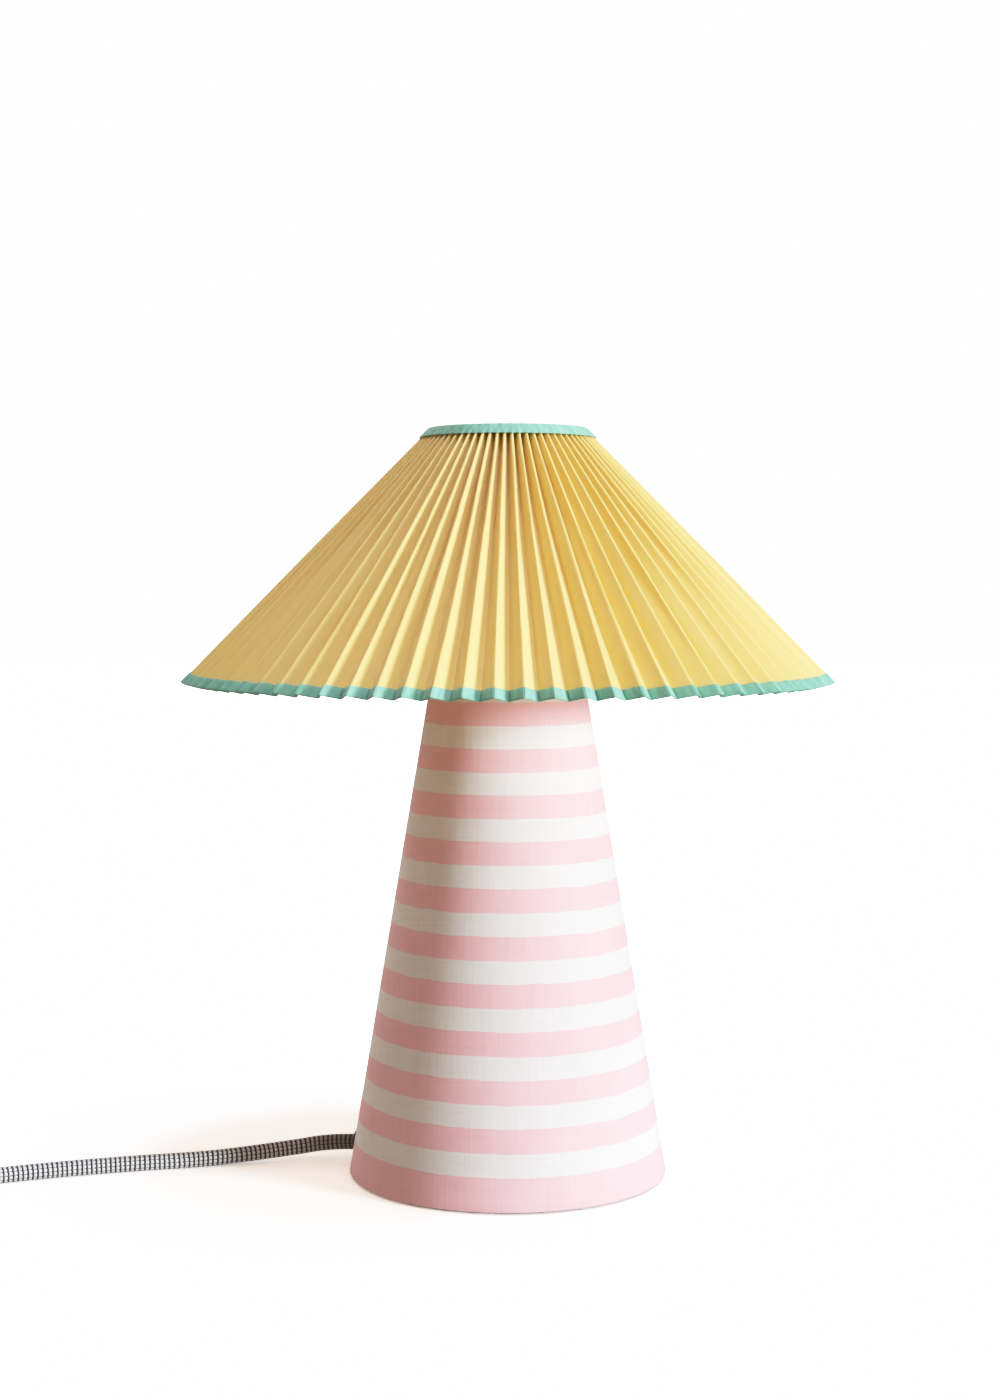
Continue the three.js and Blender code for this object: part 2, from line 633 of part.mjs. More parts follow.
function makeSwitch() {
  const unit = new THREE.Group();
  unit.position.set(SWITCH_ENTRY[0], SWITCH_ENTRY[1], 0);
  unit.rotation.z = SWITCH_HEADING;
  group.add(unit);

  const corner = 10;
  const wall = 2;
  const middle = SWITCH_LENGTH / 2;
  const cordHole = (start) => new THREE.CylinderGeometry(4, 4, 20, 16)
    .rotateZ(Math.PI / 2)
    .translate(start, 0, SWITCH_SPLIT);
  const holes = [cordHole(0), cordHole(SWITCH_LENGTH)];
  const outside = barOutline(SWITCH_LENGTH, SWITCH_WIDTH, corner);
  const inside = barOutline(SWITCH_LENGTH, SWITCH_WIDTH, corner, wall);

  const screwPlaces = [[1, middle - 17], [2, middle + 17]];
  const lowerTop = SWITCH_SPLIT - GAP / 2;
  const lower = cut(
    prism(outside, 0, lowerTop + 1.2, 1.2),
    box(-1, SWITCH_LENGTH + 1, -20, 20, lowerTop, 20),
    prism(inside, wall, 20),
    ...holes,
    ...screwPlaces.map(([, x]) => cylinder(2, -1, 5, 12).translate(x, 0, 0)),
  );
  add("switch_lower_shell", lower, "blackPlastic", unit);
  for (const [number, x] of screwPlaces) {
    add(`switch_screw_${number}`, cylinder(1.7, 0.5, 6.5, 10).translate(x, 0, 0), "steel", unit);
  }

  const upperLow = SWITCH_SPLIT + GAP / 2;
  const windowHalf = [11.1, 5.5];
  const lug = (side) => box(middle - 3, middle + 3, side * 7.4 - 1.2, side * 7.4 + 1.2,
    ROCKER_PIVOT - 2.8, SWITCH_HEIGHT - wall + 0.5);
  const pinHole = new THREE.CylinderGeometry(1.4, 1.4, 18, 12)
    .translate(middle, 0, ROCKER_PIVOT);
  const hollow = cut(
    prism(outside, upperLow - 1.6, SWITCH_HEIGHT, 1.6),
    box(-1, SWITCH_LENGTH + 1, -20, 20, -5, upperLow),
    prism(inside, -5, SWITCH_HEIGHT - wall),
    ...holes,
  );
  const upper = cut(
    join(hollow, lug(1), lug(-1)),
    box(middle - windowHalf[0], middle + windowHalf[0], -windowHalf[1], windowHalf[1], 10, 30),
    pinHole,
  );
  add("switch_upper_shell", upper, "blackPlastic", unit);

  const pin = new THREE.CylinderGeometry(1.1, 1.1, 17, 10).translate(middle, 0, ROCKER_PIVOT);
  add("rocker_pin", pin, "steel", unit);

  const rockerUnit = new THREE.Group();
  rockerUnit.position.set(middle, 0, ROCKER_PIVOT);
  rockerUnit.rotation.y = ROCKER_REST;
  unit.add(rockerUnit);
  const profile = new THREE.Shape([
    [-10.4, 5.2], [-9.6, 1.5], [-3.4, -3.2], [3.4, -3.2], [9.6, 1.5], [10.4, 5.2], [0, 4.1],
  ].map(([x, z]) => new THREE.Vector2(x, z)));
  const bore = new THREE.Path();
  for (let i = 0; i < 12; i += 1) {
    const turn = (-2 * Math.PI * i) / 12;
    bore[i ? "lineTo" : "moveTo"](1.4 * Math.cos(turn), 1.4 * Math.sin(turn));
  }
  profile.holes.push(bore);
  const rocker = new THREE.ExtrudeGeometry(profile, { depth: 10, bevelEnabled: false })
    .rotateX(Math.PI / 2)
    .translate(0, 5, 0);
  add("rocker", rocker, "whitePlastic", rockerUnit);
}

// ---------------------------------------------------------------- plug
function makePlug() {
  const unit = new THREE.Group();
  unit.position.set(PLUG_ENTRY[0], PLUG_ENTRY[1], 0);
  unit.rotation.z = -Math.PI / 2;
  group.add(unit);

  const middle = PLUG_HEIGHT / 2 + 0.05;
  const half = 17.6;
  const shell = prism([
    [13, -5.4], [18, -6.4], [31, -half], [PLUG_LENGTH - 5, -half], [PLUG_LENGTH, -half + 4],
    [PLUG_LENGTH, half - 4], [PLUG_LENGTH - 5, half], [31, half], [18, 6.4], [13, 5.4],
  ], 0.05, PLUG_HEIGHT, 1.4);
  const relief = turned([[0, 0.3], [4.6, 0.3], [5.9, 15], [0, 15]], 16)
    .rotateY(Math.PI / 2)
    .translate(0, 0, middle);
  add("plug_body", join(shell, relief), "blackPlastic", unit);
  for (const [side, y] of [["left", PIN_SPACING / 2], ["right", -PIN_SPACING / 2]]) {
    const pin = new THREE.CylinderGeometry(2, 2, PIN_LENGTH, 12)
      .rotateZ(Math.PI / 2)
      .translate(PLUG_LENGTH + GAP + PIN_LENGTH / 2, y, middle);
    add(`plug_pin_${side}`, pin, "steel", unit);
  }
}

// ---------------------------------------------------------------- cords and coil
function makeCords() {
  add("cord_lamp_to_switch", tube(LAMP_CORD, CORD_RADIUS, 10, 20), "braid");
  add("cord_switch_to_coil", tube(COIL_CORD, CORD_RADIUS, 10, 6), "braid");
  add("cord_coil_to_plug", tube(PLUG_CORD, CORD_RADIUS, 10, 6), "braid");

  const low = COIL_BOTTOM;
  const high = COIL_BOTTOM + COIL_HEIGHT;
  const inner = COIL_MIDDLE - COIL_BAND;
  const outer = COIL_MIDDLE + COIL_BAND;
  const round = 3;
  const ring = turned([
    [inner + round, low], [outer - round, low], [outer, low + round], [outer, high - round],
    [outer - round, high], [inner + round, high], [inner, high - round], [inner, low + round],
  ], 36).translate(COIL_CENTRE[0], COIL_CENTRE[1], 0);
  add("cord_coil", ring, "braid");

  const outline = (grow) => [
    [inner - grow - GAP, low - grow], [outer + grow, low - grow],
    [outer + grow, high + grow], [inner - grow - GAP, high + grow],
  ];
  const band = new THREE.Shape(outline(GAP + TIE).map(([x, z]) => new THREE.Vector2(x, z)));
  band.holes.push(new THREE.Path(
    outline(GAP).reverse().map(([x, z]) => new THREE.Vector2(x, z))));
  const tie = new THREE.ExtrudeGeometry(band, { depth: TIE_WIDTH, bevelEnabled: false })
    .rotateX(Math.PI / 2)
    .translate(0, TIE_WIDTH / 2, 0)
    .rotateZ(TIE_ANGLE)
    .translate(COIL_CENTRE[0], COIL_CENTRE[1], 0);
  add("coil_tie", tie, "blackPlastic");
}

makeFoot();
makeNipple();
makeCordEntry();
makeLampholder();
makeBulb();
const shade = new THREE.Group();
group.add(shade);
makeShadeSheet(shade);
makeShadeFrame(shade);
makeShadeRing(shade);
makeSwitch();
makePlug();
makeCords();

export default group;
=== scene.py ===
# The looks of a striped table lamp with a pleated shade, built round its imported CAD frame.
# Blender 4.5, metres, +Z up, the lamp's axis at the origin and its front towards -Y.
import json
import math
import random

import bmesh
import bpy
import numpy as np
from mathutils import Matrix, Vector


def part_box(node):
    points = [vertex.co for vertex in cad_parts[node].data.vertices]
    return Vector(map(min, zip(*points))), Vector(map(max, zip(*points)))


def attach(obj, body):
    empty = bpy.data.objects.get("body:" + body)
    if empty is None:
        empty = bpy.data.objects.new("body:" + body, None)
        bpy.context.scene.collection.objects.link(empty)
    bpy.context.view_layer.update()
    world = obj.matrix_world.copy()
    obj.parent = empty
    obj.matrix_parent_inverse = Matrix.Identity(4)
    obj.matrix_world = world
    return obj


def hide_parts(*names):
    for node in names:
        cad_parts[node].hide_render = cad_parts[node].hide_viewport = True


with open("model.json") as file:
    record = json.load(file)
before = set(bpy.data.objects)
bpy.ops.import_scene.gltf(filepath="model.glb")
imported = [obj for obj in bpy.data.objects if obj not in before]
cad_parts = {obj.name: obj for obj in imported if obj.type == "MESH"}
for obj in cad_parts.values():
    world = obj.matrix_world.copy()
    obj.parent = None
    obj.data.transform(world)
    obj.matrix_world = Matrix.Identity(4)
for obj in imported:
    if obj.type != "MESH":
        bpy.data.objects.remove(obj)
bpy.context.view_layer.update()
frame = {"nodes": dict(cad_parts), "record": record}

MM = 0.001
TAU = 2 * math.pi

# ---------------------------------------------------------------- dimensions, in millimetres
# Fold lines of the shade as (radius, height), midway through the sheet.
PLEATS = 76
RIM_RIDGE = np.array([149.2, 229.3])
RIM_VALLEY = np.array([142.6, 227.6])
TOP_RIDGE = np.array([38.2, 342.0])
TOP_VALLEY = np.array([31.8, 339.9])
# The width of one panel, from fold to fold, when the cloth lies flat
RIM_PANEL = 9.06
SHEET = 0.3
TAPE = 0.4
RIM_TAPE_WIDTH = 5.8
# Mesh points across a flat panel, and round a fold
PANEL_SAMPLES = 7
FOLD_SAMPLES = 4

# Cone
CONE_FOOT_RADIUS = 73.9
CONE_TAPER = 0.167
CONE_BOTTOM = 1.1
CONE_TOP = 227.9
LAP = 0.11  # radians of overlap at the cover's back seam

# The cover's white bands on their pink ground: the lowest edge, the repeat, the white's width
BANDS = 10
BAND_FIRST = 16.0
BAND_REPEAT = 20.5
BAND_WHITE = 10.0

# Cords
CORD_DIAMETER = 7.4
# The braid has this many cells round it, each this long
CELLS_ROUND = 12
CELL_LENGTH = 2.25
# The bush in the cone: its direction, its height, and the hole for it in the cloth
CORD_TURN = math.radians(165)
CORD_HEIGHT = 8.4
CORD_BORE_RADIUS = 5.25
LAMP_CORD = [
    (-70.5, 18.9, 8.4), (-74.0, 19.8, 8.3), (-81.0, 21.0, 7.9), (-90.0, 21.2, 7.1),
    (-99.5, 19.4, 6.0), (-113.0, 15.8, 4.9), (-127.0, 11.0, 4.2), (-140.0, 6.6, 3.8),
    (-154.0, 2.6, 3.75), (-168.0, -0.8, 3.75), (-181.0, -4.3, 3.75), (-194.0, -8.3, 3.75),
    (-207.0, -12.7, 3.75), (-220.0, -17.5, 3.75), (-233.0, -23.2, 3.8), (-245.5, -30.6, 4.4),
    (-256.5, -40.0, 6.0), (-264.6, -50.0, 7.6), (-270.3, -59.6, 8.0),
]
SWITCH_ENTRY = (-268.0, -55.7, 0.0)
SWITCH_HEADING = math.radians(240)
COIL_CORD = [
    (-295.0, -102.5, 8.0), (-299.0, -109.4, 8.0), (-303.1, -116.6, 7.4), (-307.2, -124.8, 6.2),
    (-310.2, -134.0, 5.1), (-311.8, -144.0, 4.7), (-312.6, -155.0, 4.65),
]
COIL_CENTRE = (-260.7, -172.0)
COIL_OUTER = 52.1
COIL_INNER = 33.6
COIL_LOW = 4.65
COIL_HIGH = 12.2
COIL_TURNS_IN_LAYER = 2.4
COIL_RISE = 0.2
PLUG_CORD = [
    (-312.9, -186.0, 12.1), (-313.0, -199.0, 11.4), (-313.4, -212.0, 9.8), (-314.0, -226.0, 7.8),
    (-314.2, -238.0, 6.95), (-314.3, -251.5, 6.9),
]
PLUG_ENTRY = (-314.3, -250.0, 0.0)
PLUG_AXIS_Z = 6.9
SWITCH_LENGTH = 62
SWITCH_WIDTH = 26
ROCKER_PIVOT = 14.6
ROCKER_REST = math.radians(-8)

# The camera, in metres and millimetres of lens
CAMERA_SIDE = -0.0036
CAMERA_DISTANCE = 1.0108
CAMERA_HEIGHT = 0.2779
CAMERA_TILT = math.radians(3.272)
CAMERA_LENS = 56.36


# ---------------------------------------------------------------- material helpers
class Shader:
    """A material's or world's node tree, with short calls to add nodes and link them."""

    def __init__(self, name, kind="materials"):
        self.owner = getattr(bpy.data, kind).new(name)
        self.owner.use_nodes = True
        self.tree = self.owner.node_tree
        self.tree.nodes.clear()

    def add(self, kind, inputs=None, **settings):
        node = self.tree.nodes.new(kind)
        for key, value in settings.items():
            setattr(node, key, value)
        for key, value in (inputs or {}).items():
            socket = node.inputs[key]
            if isinstance(value, bpy.types.NodeSocket):
                self.tree.links.new(value, socket)
            else:
                socket.default_value = value
        return node

    def math(self, operation, *values):
        node = self.add("ShaderNodeMath", dict(enumerate(values)), operation=operation)
        return node.outputs[0]

    def times(self, a, b):
        return self.math("MULTIPLY", a, b)

    def plus(self, a, b):
        return self.math("ADD", a, b)

    def mix(self, factor, a, b, blend="MIX"):
        node = self.add("ShaderNodeMix", {0: factor, 6: a, 7: b}, data_type="RGBA")
        node.blend_type = blend
        return node.outputs[2]

    def noise(self, vector, scale, detail=2.0, roughness=0.5):
        inputs = {"Vector": vector, "Scale": scale, "Detail": detail, "Roughness": roughness}
        return self.add("ShaderNodeTexNoise", inputs).outputs["Fac"]

    def stretch(self, vector, x, y, z):
        node = self.add("ShaderNodeMapping", {"Vector": vector, "Scale": (x, y, z)})
        return node.outputs[0]

    def step(self, value, low, high, to_low=0.0, to_high=1.0):
        inputs = {0: value, 1: low, 2: high, 3: to_low, 4: to_high}
        return self.add("ShaderNodeMapRange", inputs, interpolation_type="SMOOTHSTEP").outputs[0]

    def bump(self, height, strength, distance):
        inputs = {"Height": height, "Strength": strength, "Distance": distance}
        return self.add("ShaderNodeBump", inputs).outputs[0]

    def principled(self, **inputs):
        names = {key.replace("_", " "): value for key, value in inputs.items()}
        return self.add("ShaderNodeBsdfPrincipled", names).outputs[0]

    def finish(self, surface, output="ShaderNodeOutputMaterial"):
        self.add(output, {"Surface": surface})
        return self.owner


def rgb(r, g, b):
    return (r, g, b, 1.0)


def object_place(shader):
    return shader.add("ShaderNodeTexCoord").outputs["Object"]


def uv_place(shader):
    return shader.add("ShaderNodeUVMap", uv_map="UVMap").outputs[0]


def thread_weave(shader, uv, across, along):
    """A plain weave's height: threads over and under each other, from UVs in millimetres."""
    split = shader.add("ShaderNodeSeparateXYZ", {0: uv})
    u = shader.times(split.outputs[0], math.pi / across)
    v = shader.times(split.outputs[1], math.pi / along)
    warp = shader.math("ABSOLUTE", shader.math("SINE", u))
    weft = shader.math("ABSOLUTE", shader.math("SINE", v))
    turn = shader.times(shader.math("SINE", u), shader.math("SINE", v))
    over = shader.step(turn, -0.2, 0.2)
    high = shader.times(warp, over)
    low = shader.times(weft, shader.math("SUBTRACT", 1.0, over))
    return shader.plus(high, low)


# ---------------------------------------------------------------- materials
def yellow_cloth():
    s = Shader("yellow_cloth")
    uv = uv_place(s)
    weave = thread_weave(s, uv, 0.34, 0.34)
    slub = s.noise(s.stretch(uv, 0.9, 0.05, 1.0), 1.0, 3.0)
    patch = s.noise(object_place(s), 14.0, 2.0)
    tone = s.mix(s.step(patch, 0.3, 0.7), rgb(0.95, 0.77, 0.26), rgb(0.97, 0.80, 0.31))
    tone = s.mix(s.times(s.step(slub, 0.35, 0.75), 0.22), tone, rgb(0.98, 0.85, 0.40))
    colour = s.mix(s.times(weave, 0.18), tone, rgb(0.99, 0.88, 0.48))
    height = s.plus(weave, s.times(slub, 0.6))
    normal = s.bump(height, 0.35, 0.00012)
    front = s.principled(
        Base_Color=colour, Roughness=0.6, Sheen_Weight=0.45, Sheen_Roughness=0.4,
        Specular_IOR_Level=0.4, Normal=normal)
    through = s.add("ShaderNodeBsdfTranslucent",
                    {"Color": rgb(1.0, 0.80, 0.08), "Normal": normal}).outputs[0]
    both = s.add("ShaderNodeMixShader", {0: 0.38, 1: front, 2: through}).outputs[0]
    return s.finish(both)


def green_tape():
    s = Shader("green_tape")
    uv = uv_place(s)
    weave = thread_weave(s, uv, 0.3, 0.3)
    # Streaks along the tape are partly its own ribbed weave and partly painted shade of its
    # gathers. The same streaks also give the ribs' relief.
    rib_and_gather_shade = s.noise(s.stretch(uv, 0.35, 0.08, 1.0), 1.0, 3.0)
    tone = s.mix(s.step(rib_and_gather_shade, 0.3, 0.7), rgb(0.14, 0.37, 0.26), rgb(0.23, 0.51, 0.37))
    colour = s.mix(s.times(weave, 0.2), tone, rgb(0.29, 0.60, 0.48))
    normal = s.bump(s.plus(weave, rib_and_gather_shade), 0.4, 0.00012)
    front = s.principled(
        Base_Color=colour, Roughness=0.75, Sheen_Weight=0.2, Sheen_Roughness=0.4,
        Specular_IOR_Level=0.3, Normal=normal)
    return s.finish(front)


def band_edges():
    """The heights where the cover turns to white, ADD, and back to pink, SUBTRACT."""
    edges = []
    for k in range(BANDS + 1):
        low = BAND_FIRST + k * BAND_REPEAT
        edges += [(low, "ADD"), (low + BAND_WHITE, "SUBTRACT")]
    return edges[:-1]


def striped_cloth():
    """Pink and white bands by height; their edges waver a little, as printed on canvas."""
    s = Shader("striped_cloth")
    place = object_place(s)
    uv = uv_place(s)
    wobble = s.noise(s.stretch(place, 1.0, 1.0, 0.35), 95.0, 3.0)
    slow = s.noise(place, 9.0, 1.0)
    height = s.times(s.add("ShaderNodeSeparateXYZ", {0: place}).outputs[2], 1000.0)
    shift = s.math("MULTIPLY_ADD", wobble, 1.3, -0.65)
    drift = s.math("MULTIPLY_ADD", slow, 1.4, -0.7)
    moved = s.plus(height, s.plus(shift, drift))
    white = 0.0
    for edge, turn in band_edges():
        passed = s.step(moved, edge - 0.22, edge + 0.22)
        white = s.math(turn, white, passed)

    weave = thread_weave(s, uv, 0.42, 0.42)
    slub = s.noise(s.stretch(uv, 1.1, 0.035, 1.0), 1.0, 4.0)
    cross = s.noise(s.stretch(uv, 0.03, 0.8, 1.0), 1.0, 3.0)
    cloud = s.noise(place, 30.0, 3.0)
    pink = s.mix(s.step(cloud, 0.3, 0.7), rgb(0.85, 0.46, 0.51), rgb(0.87, 0.50, 0.55))
    cream = s.mix(s.step(cloud, 0.3, 0.7), rgb(0.76, 0.74, 0.74), rgb(0.80, 0.785, 0.78))
    tone = s.mix(white, pink, cream)
    threads = s.plus(s.times(slub, 0.6), s.times(cross, 0.4))
    shade = s.step(threads, 0.3, 0.75, 0.93, 1.05)
    grey = s.add("ShaderNodeCombineXYZ", {0: shade, 1: shade, 2: shade}).outputs[0]
    colour = s.mix(1.0, tone, grey, "MULTIPLY")
    colour = s.mix(s.times(weave, 0.10), colour, rgb(0.95, 0.93, 0.92))
    relief = s.plus(weave, s.times(threads, 2.2))
    normal = s.bump(relief, 0.35, 0.00014)
    front = s.principled(
        Base_Color=colour, Roughness=0.82, Sheen_Weight=0.12, Sheen_Roughness=0.5,
        Specular_IOR_Level=0.25, Normal=normal)
    return s.finish(front)


def braid():
    """White cells in a black net: UV x is cells round the cord, UV y is cells along it."""
    s = Shader("cord_braid")
    split = s.add("ShaderNodeSeparateXYZ", {0: uv_place(s)})
    u = s.math("FRACT", split.outputs[0])
    bow = s.times(s.math("SINE", s.times(u, math.pi)), 0.14)
    sway = s.times(s.noise(object_place(s), 90.0, 1.0), 0.5)
    v = s.math("FRACT", s.plus(split.outputs[1], s.plus(bow, sway)))
    across = s.math("ABSOLUTE", s.math("SUBTRACT", u, 0.5))
    along = s.math("ABSOLUTE", s.math("SUBTRACT", v, 0.5))
    inside_u = s.step(across, 0.47, 0.36)
    inside_v = s.step(along, 0.33, 0.24)
    cell = s.times(inside_u, inside_v)
    strand = s.math("SINE", s.times(split.outputs[0], TAU * 4))
    fuzz = s.noise(object_place(s), 2500.0, 2.0)
    white = s.mix(fuzz, rgb(0.50, 0.50, 0.51), rgb(0.80, 0.80, 0.81))
    # Near the lamp the yarn takes a darker tone, in place of the shadow that the photo has there.
    from_lamp = s.add("ShaderNodeVectorMath", {0: object_place(s)}, operation="LENGTH")
    shaded = s.step(s.times(from_lamp.outputs["Value"], 1000.0), 112.0, 80.0, 0.0, 0.75)
    white = s.mix(shaded, white, rgb(0.13, 0.11, 0.10))
    black = s.mix(fuzz, rgb(0.012, 0.012, 0.013), rgb(0.045, 0.045, 0.05))
    colour = s.mix(cell, black, white)
    relief = s.plus(s.times(cell, 1.0), s.times(strand, 0.12))
    normal = s.bump(relief, 0.6, 0.00025)
    return s.finish(s.principled(
        Base_Color=colour, Roughness=0.7, Sheen_Weight=0.1, Specular_IOR_Level=0.3,
        Normal=normal))


def grained(name, colour, other, roughness, scale, depth=0.00005, metallic=0.0, coat=0.0):
    """A solid finish with a fine grain in colour, roughness and relief."""
    s = Shader(name)
    place = object_place(s)
    grain = s.noise(place, scale, 4.0, 0.6)
    broad = s.noise(place, scale / 12, 2.0)
    tone = s.mix(s.step(broad, 0.3, 0.7), rgb(*colour), rgb(*other))
    rough = s.step(grain, 0.2, 0.8, roughness * 0.85, min(1.0, roughness * 1.15))
    normal = s.bump(grain, 0.3, depth)
    return s.finish(s.principled(
        Base_Color=tone, Roughness=rough, Metallic=metallic, Coat_Weight=coat, Normal=normal))


def felt():
    s = Shader("felt")
    place = object_place(s)
    fibre = s.noise(place, 1400.0, 5.0, 0.7)
    clump = s.noise(place, 160.0, 3.0)
    colour = s.mix(fibre, rgb(0.012, 0.012, 0.012), rgb(0.07, 0.068, 0.065))
    normal = s.bump(s.plus(fibre, clump), 0.8, 0.0003)
    return s.finish(s.principled(
        Base_Color=colour, Roughness=1.0, Sheen_Weight=0.4, Sheen_Roughness=0.6, Normal=normal))


def fibreboard(name, light, dark):
    s = Shader(name)
    place = object_place(s)
    fibre = s.noise(s.stretch(place, 1.0, 1.0, 2.5), 900.0, 5.0, 0.7)
    band = s.noise(s.stretch(place, 0.3, 0.3, 3.0), 60.0, 2.0)
    colour = s.mix(s.times(s.plus(fibre, band), 0.5), rgb(*dark), rgb(*light))
    return s.finish(s.principled(
        Base_Color=colour, Roughness=0.85, Normal=s.bump(fibre, 0.4, 0.0001)))


def brushed(name, colour, roughness):
    s = Shader(name)
    place = object_place(s)
    streak = s.noise(s.stretch(place, 1.0, 1.0, 26.0), 420.0, 3.0)
    tone = s.mix(s.times(streak, 0.35), rgb(*colour), rgb(*(c * 0.6 for c in colour)))
    rough = s.step(streak, 0.2, 0.8, roughness * 0.8, roughness * 1.25)
    return s.finish(s.principled(
        Base_Color=tone, Roughness=rough, Metallic=1.0, Normal=s.bump(streak, 0.15, 0.00005)))


def opal_glass():
    s = Shader("opal_glass")
    place = object_place(s)
    haze = s.noise(place, 40.0, 2.0)
    colour = s.mix(haze, rgb(0.90, 0.885, 0.85), rgb(0.94, 0.93, 0.90))
    dust = s.noise(place, 900.0, 3.0)
    rough = s.step(dust, 0.3, 0.8, 0.16, 0.28)
    return s.finish(s.principled(
        Base_Color=colour, Roughness=rough, Coat_Weight=0.5, Coat_Roughness=0.08))


MATERIALS = {
    "yellow_cloth": yellow_cloth(),
    "green_tape": green_tape(),
    "pink_cloth": striped_cloth(),
    "cord_braid": braid(),
    "felt": felt(),
    "board": fibreboard("board", (0.42, 0.38, 0.33), (0.28, 0.25, 0.21)),
    "wood": fibreboard("wood", (0.52, 0.37, 0.22), (0.36, 0.24, 0.13)),
    "steel": brushed("steel", (0.60, 0.61, 0.63), 0.34),
    "frame_wire": grained("frame_wire", (0.78, 0.77, 0.74), (0.72, 0.71, 0.68), 0.4, 700.0),
    "brass": brushed("brass", (0.76, 0.56, 0.25), 0.3),
    "black_plastic": grained("black_plastic", (0.014, 0.014, 0.015), (0.022, 0.022, 0.023),
                             0.42, 1500.0),
    "ceramic": grained("ceramic", (0.78, 0.76, 0.70), (0.72, 0.70, 0.64), 0.3, 500.0, coat=0.3),
    "white_plastic": grained("white_plastic", (0.82, 0.81, 0.78), (0.78, 0.77, 0.73), 0.4, 1300.0),
    "opal_glass": opal_glass(),
    "tie_fabric": grained("tie_fabric", (0.018, 0.018, 0.018), (0.035, 0.035, 0.036), 0.95,
                          1800.0, 0.0002),
}


# ---------------------------------------------------------------- mesh helpers
def add_object(name, data):
    obj = bpy.data.objects.new(name, data)
    bpy.context.scene.collection.objects.link(obj)
    return obj


def piece(name, vertices, faces, slot, body, replaced=(), uvs=None, sharp=38.0):
    """A new piece in millimetres that rides on a body and takes a material slot's finish."""
    mesh = bpy.data.meshes.new(name)
    scaled = np.asarray(vertices, float) * MM
    mesh.from_pydata(scaled.tolist(), [], faces)
    obj = add_object(name, mesh)
    if uvs is not None:
        layer = mesh.uv_layers.new(name="UVMap")
        flat = np.asarray(uvs, float)
        corners = np.empty(len(mesh.loops), int)
        mesh.loops.foreach_get("vertex_index", corners)
        layer.data.foreach_set("uv", flat[corners].astype(np.float32).ravel())
    mesh.polygons.foreach_set("use_smooth", [True] * len(mesh.polygons))
    mesh.set_sharp_from_angle(angle=math.radians(sharp))
    mesh.update()
    dress(obj, slot, body, replaced)
    return obj


def dress(obj, slot, body, replaced=()):
    obj.data.materials.clear()
    obj.data.materials.append(MATERIALS[slot])
    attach(obj, body)
    if replaced:
        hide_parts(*replaced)


def grid_faces(rows, columns, close_rows=False, close_columns=False):
    """Quads over a grid of vertices, row after row."""
    faces = []
    for i in range(rows if close_rows else rows - 1):
        for j in range(columns if close_columns else columns - 1):
            a = i * columns + j
            b = i * columns + (j + 1) % columns
            c = ((i + 1) % rows) * columns + (j + 1) % columns
            d = ((i + 1) % rows) * columns + j
            faces.append((a, b, c, d))
    return faces


def filleted(outline, radius, steps=4, closed=True):
    """The outline with each corner drawn as a short curve."""
    points = [np.array(p, float) for p in outline]
    count = len(points)
    result = []
    for i, corner in enumerate(points):
        if not closed and i in (0, count - 1):
            result.append(corner)
            continue
        before = points[i - 1] - corner
        after = points[(i + 1) % count] - corner
        reach = min(radius, 0.45 * np.linalg.norm(before), 0.45 * np.linalg.norm(after))
        start = corner + before / np.linalg.norm(before) * reach
        end = corner + after / np.linalg.norm(after) * reach
        for k in range(steps + 1):
            t = k / steps
            result.append((1 - t) ** 2 * start + 2 * t * (1 - t) * corner + t * t * end)
    return result


def turned(name, profile, slot, body, replaced=(), segments=96, fillet=0.5, closed=True,
           shape=None, place=None):
    """A turned piece from (radius, height) points. An open profile starts and ends on the axis.

    shape(r, z, turn) gives a point's own radius, for threads and ribs, and place moves the
    finished piece, in millimetres.
    """
    outline = filleted(profile, fillet, closed=closed) if fillet else list(profile)
    on_axis = [0, len(outline) - 1] if not closed else []
    vertices = []
    faces = []
    rings = []
    for i, (r, z) in enumerate(outline):
        rings.append(len(vertices))
        if i in on_axis:
            vertices.append((0.0, 0.0, z))
            continue
        for k in range(segments):
            turn = TAU * k / segments
            own = shape(r, z, turn) if shape else r
            vertices.append((own * math.cos(turn), own * math.sin(turn), z))
    if place is not None:
        vertices = [tuple(place @ Vector(v)) for v in vertices]
    pairs = list(zip(range(len(outline)), range(1, len(outline))))
    if closed:
        pairs.append((len(outline) - 1, 0))
    for i, j in pairs:
        for k in range(segments):
            after = (k + 1) % segments
            a = rings[i] if i in on_axis else rings[i] + k
            b = rings[i] if i in on_axis else rings[i] + after
            c = rings[j] if j in on_axis else rings[j] + after
            d = rings[j] if j in on_axis else rings[j] + k
            faces.append(tuple(dict.fromkeys((a, b, c, d))))
    obj = piece(name, vertices, faces, slot, body, replaced)
    face_out(obj)
    return obj


def edit(obj, change):
    work = bmesh.new()
    work.from_mesh(obj.data)
    change(work)
    work.to_mesh(obj.data)
    work.free()
    obj.data.update()


def face_out(obj):
    edit(obj, lambda work: bmesh.ops.recalc_face_normals(work, faces=work.faces))


def weld(obj):
    edit(obj, lambda work: bmesh.ops.remove_doubles(work, verts=work.verts, dist=1e-6))


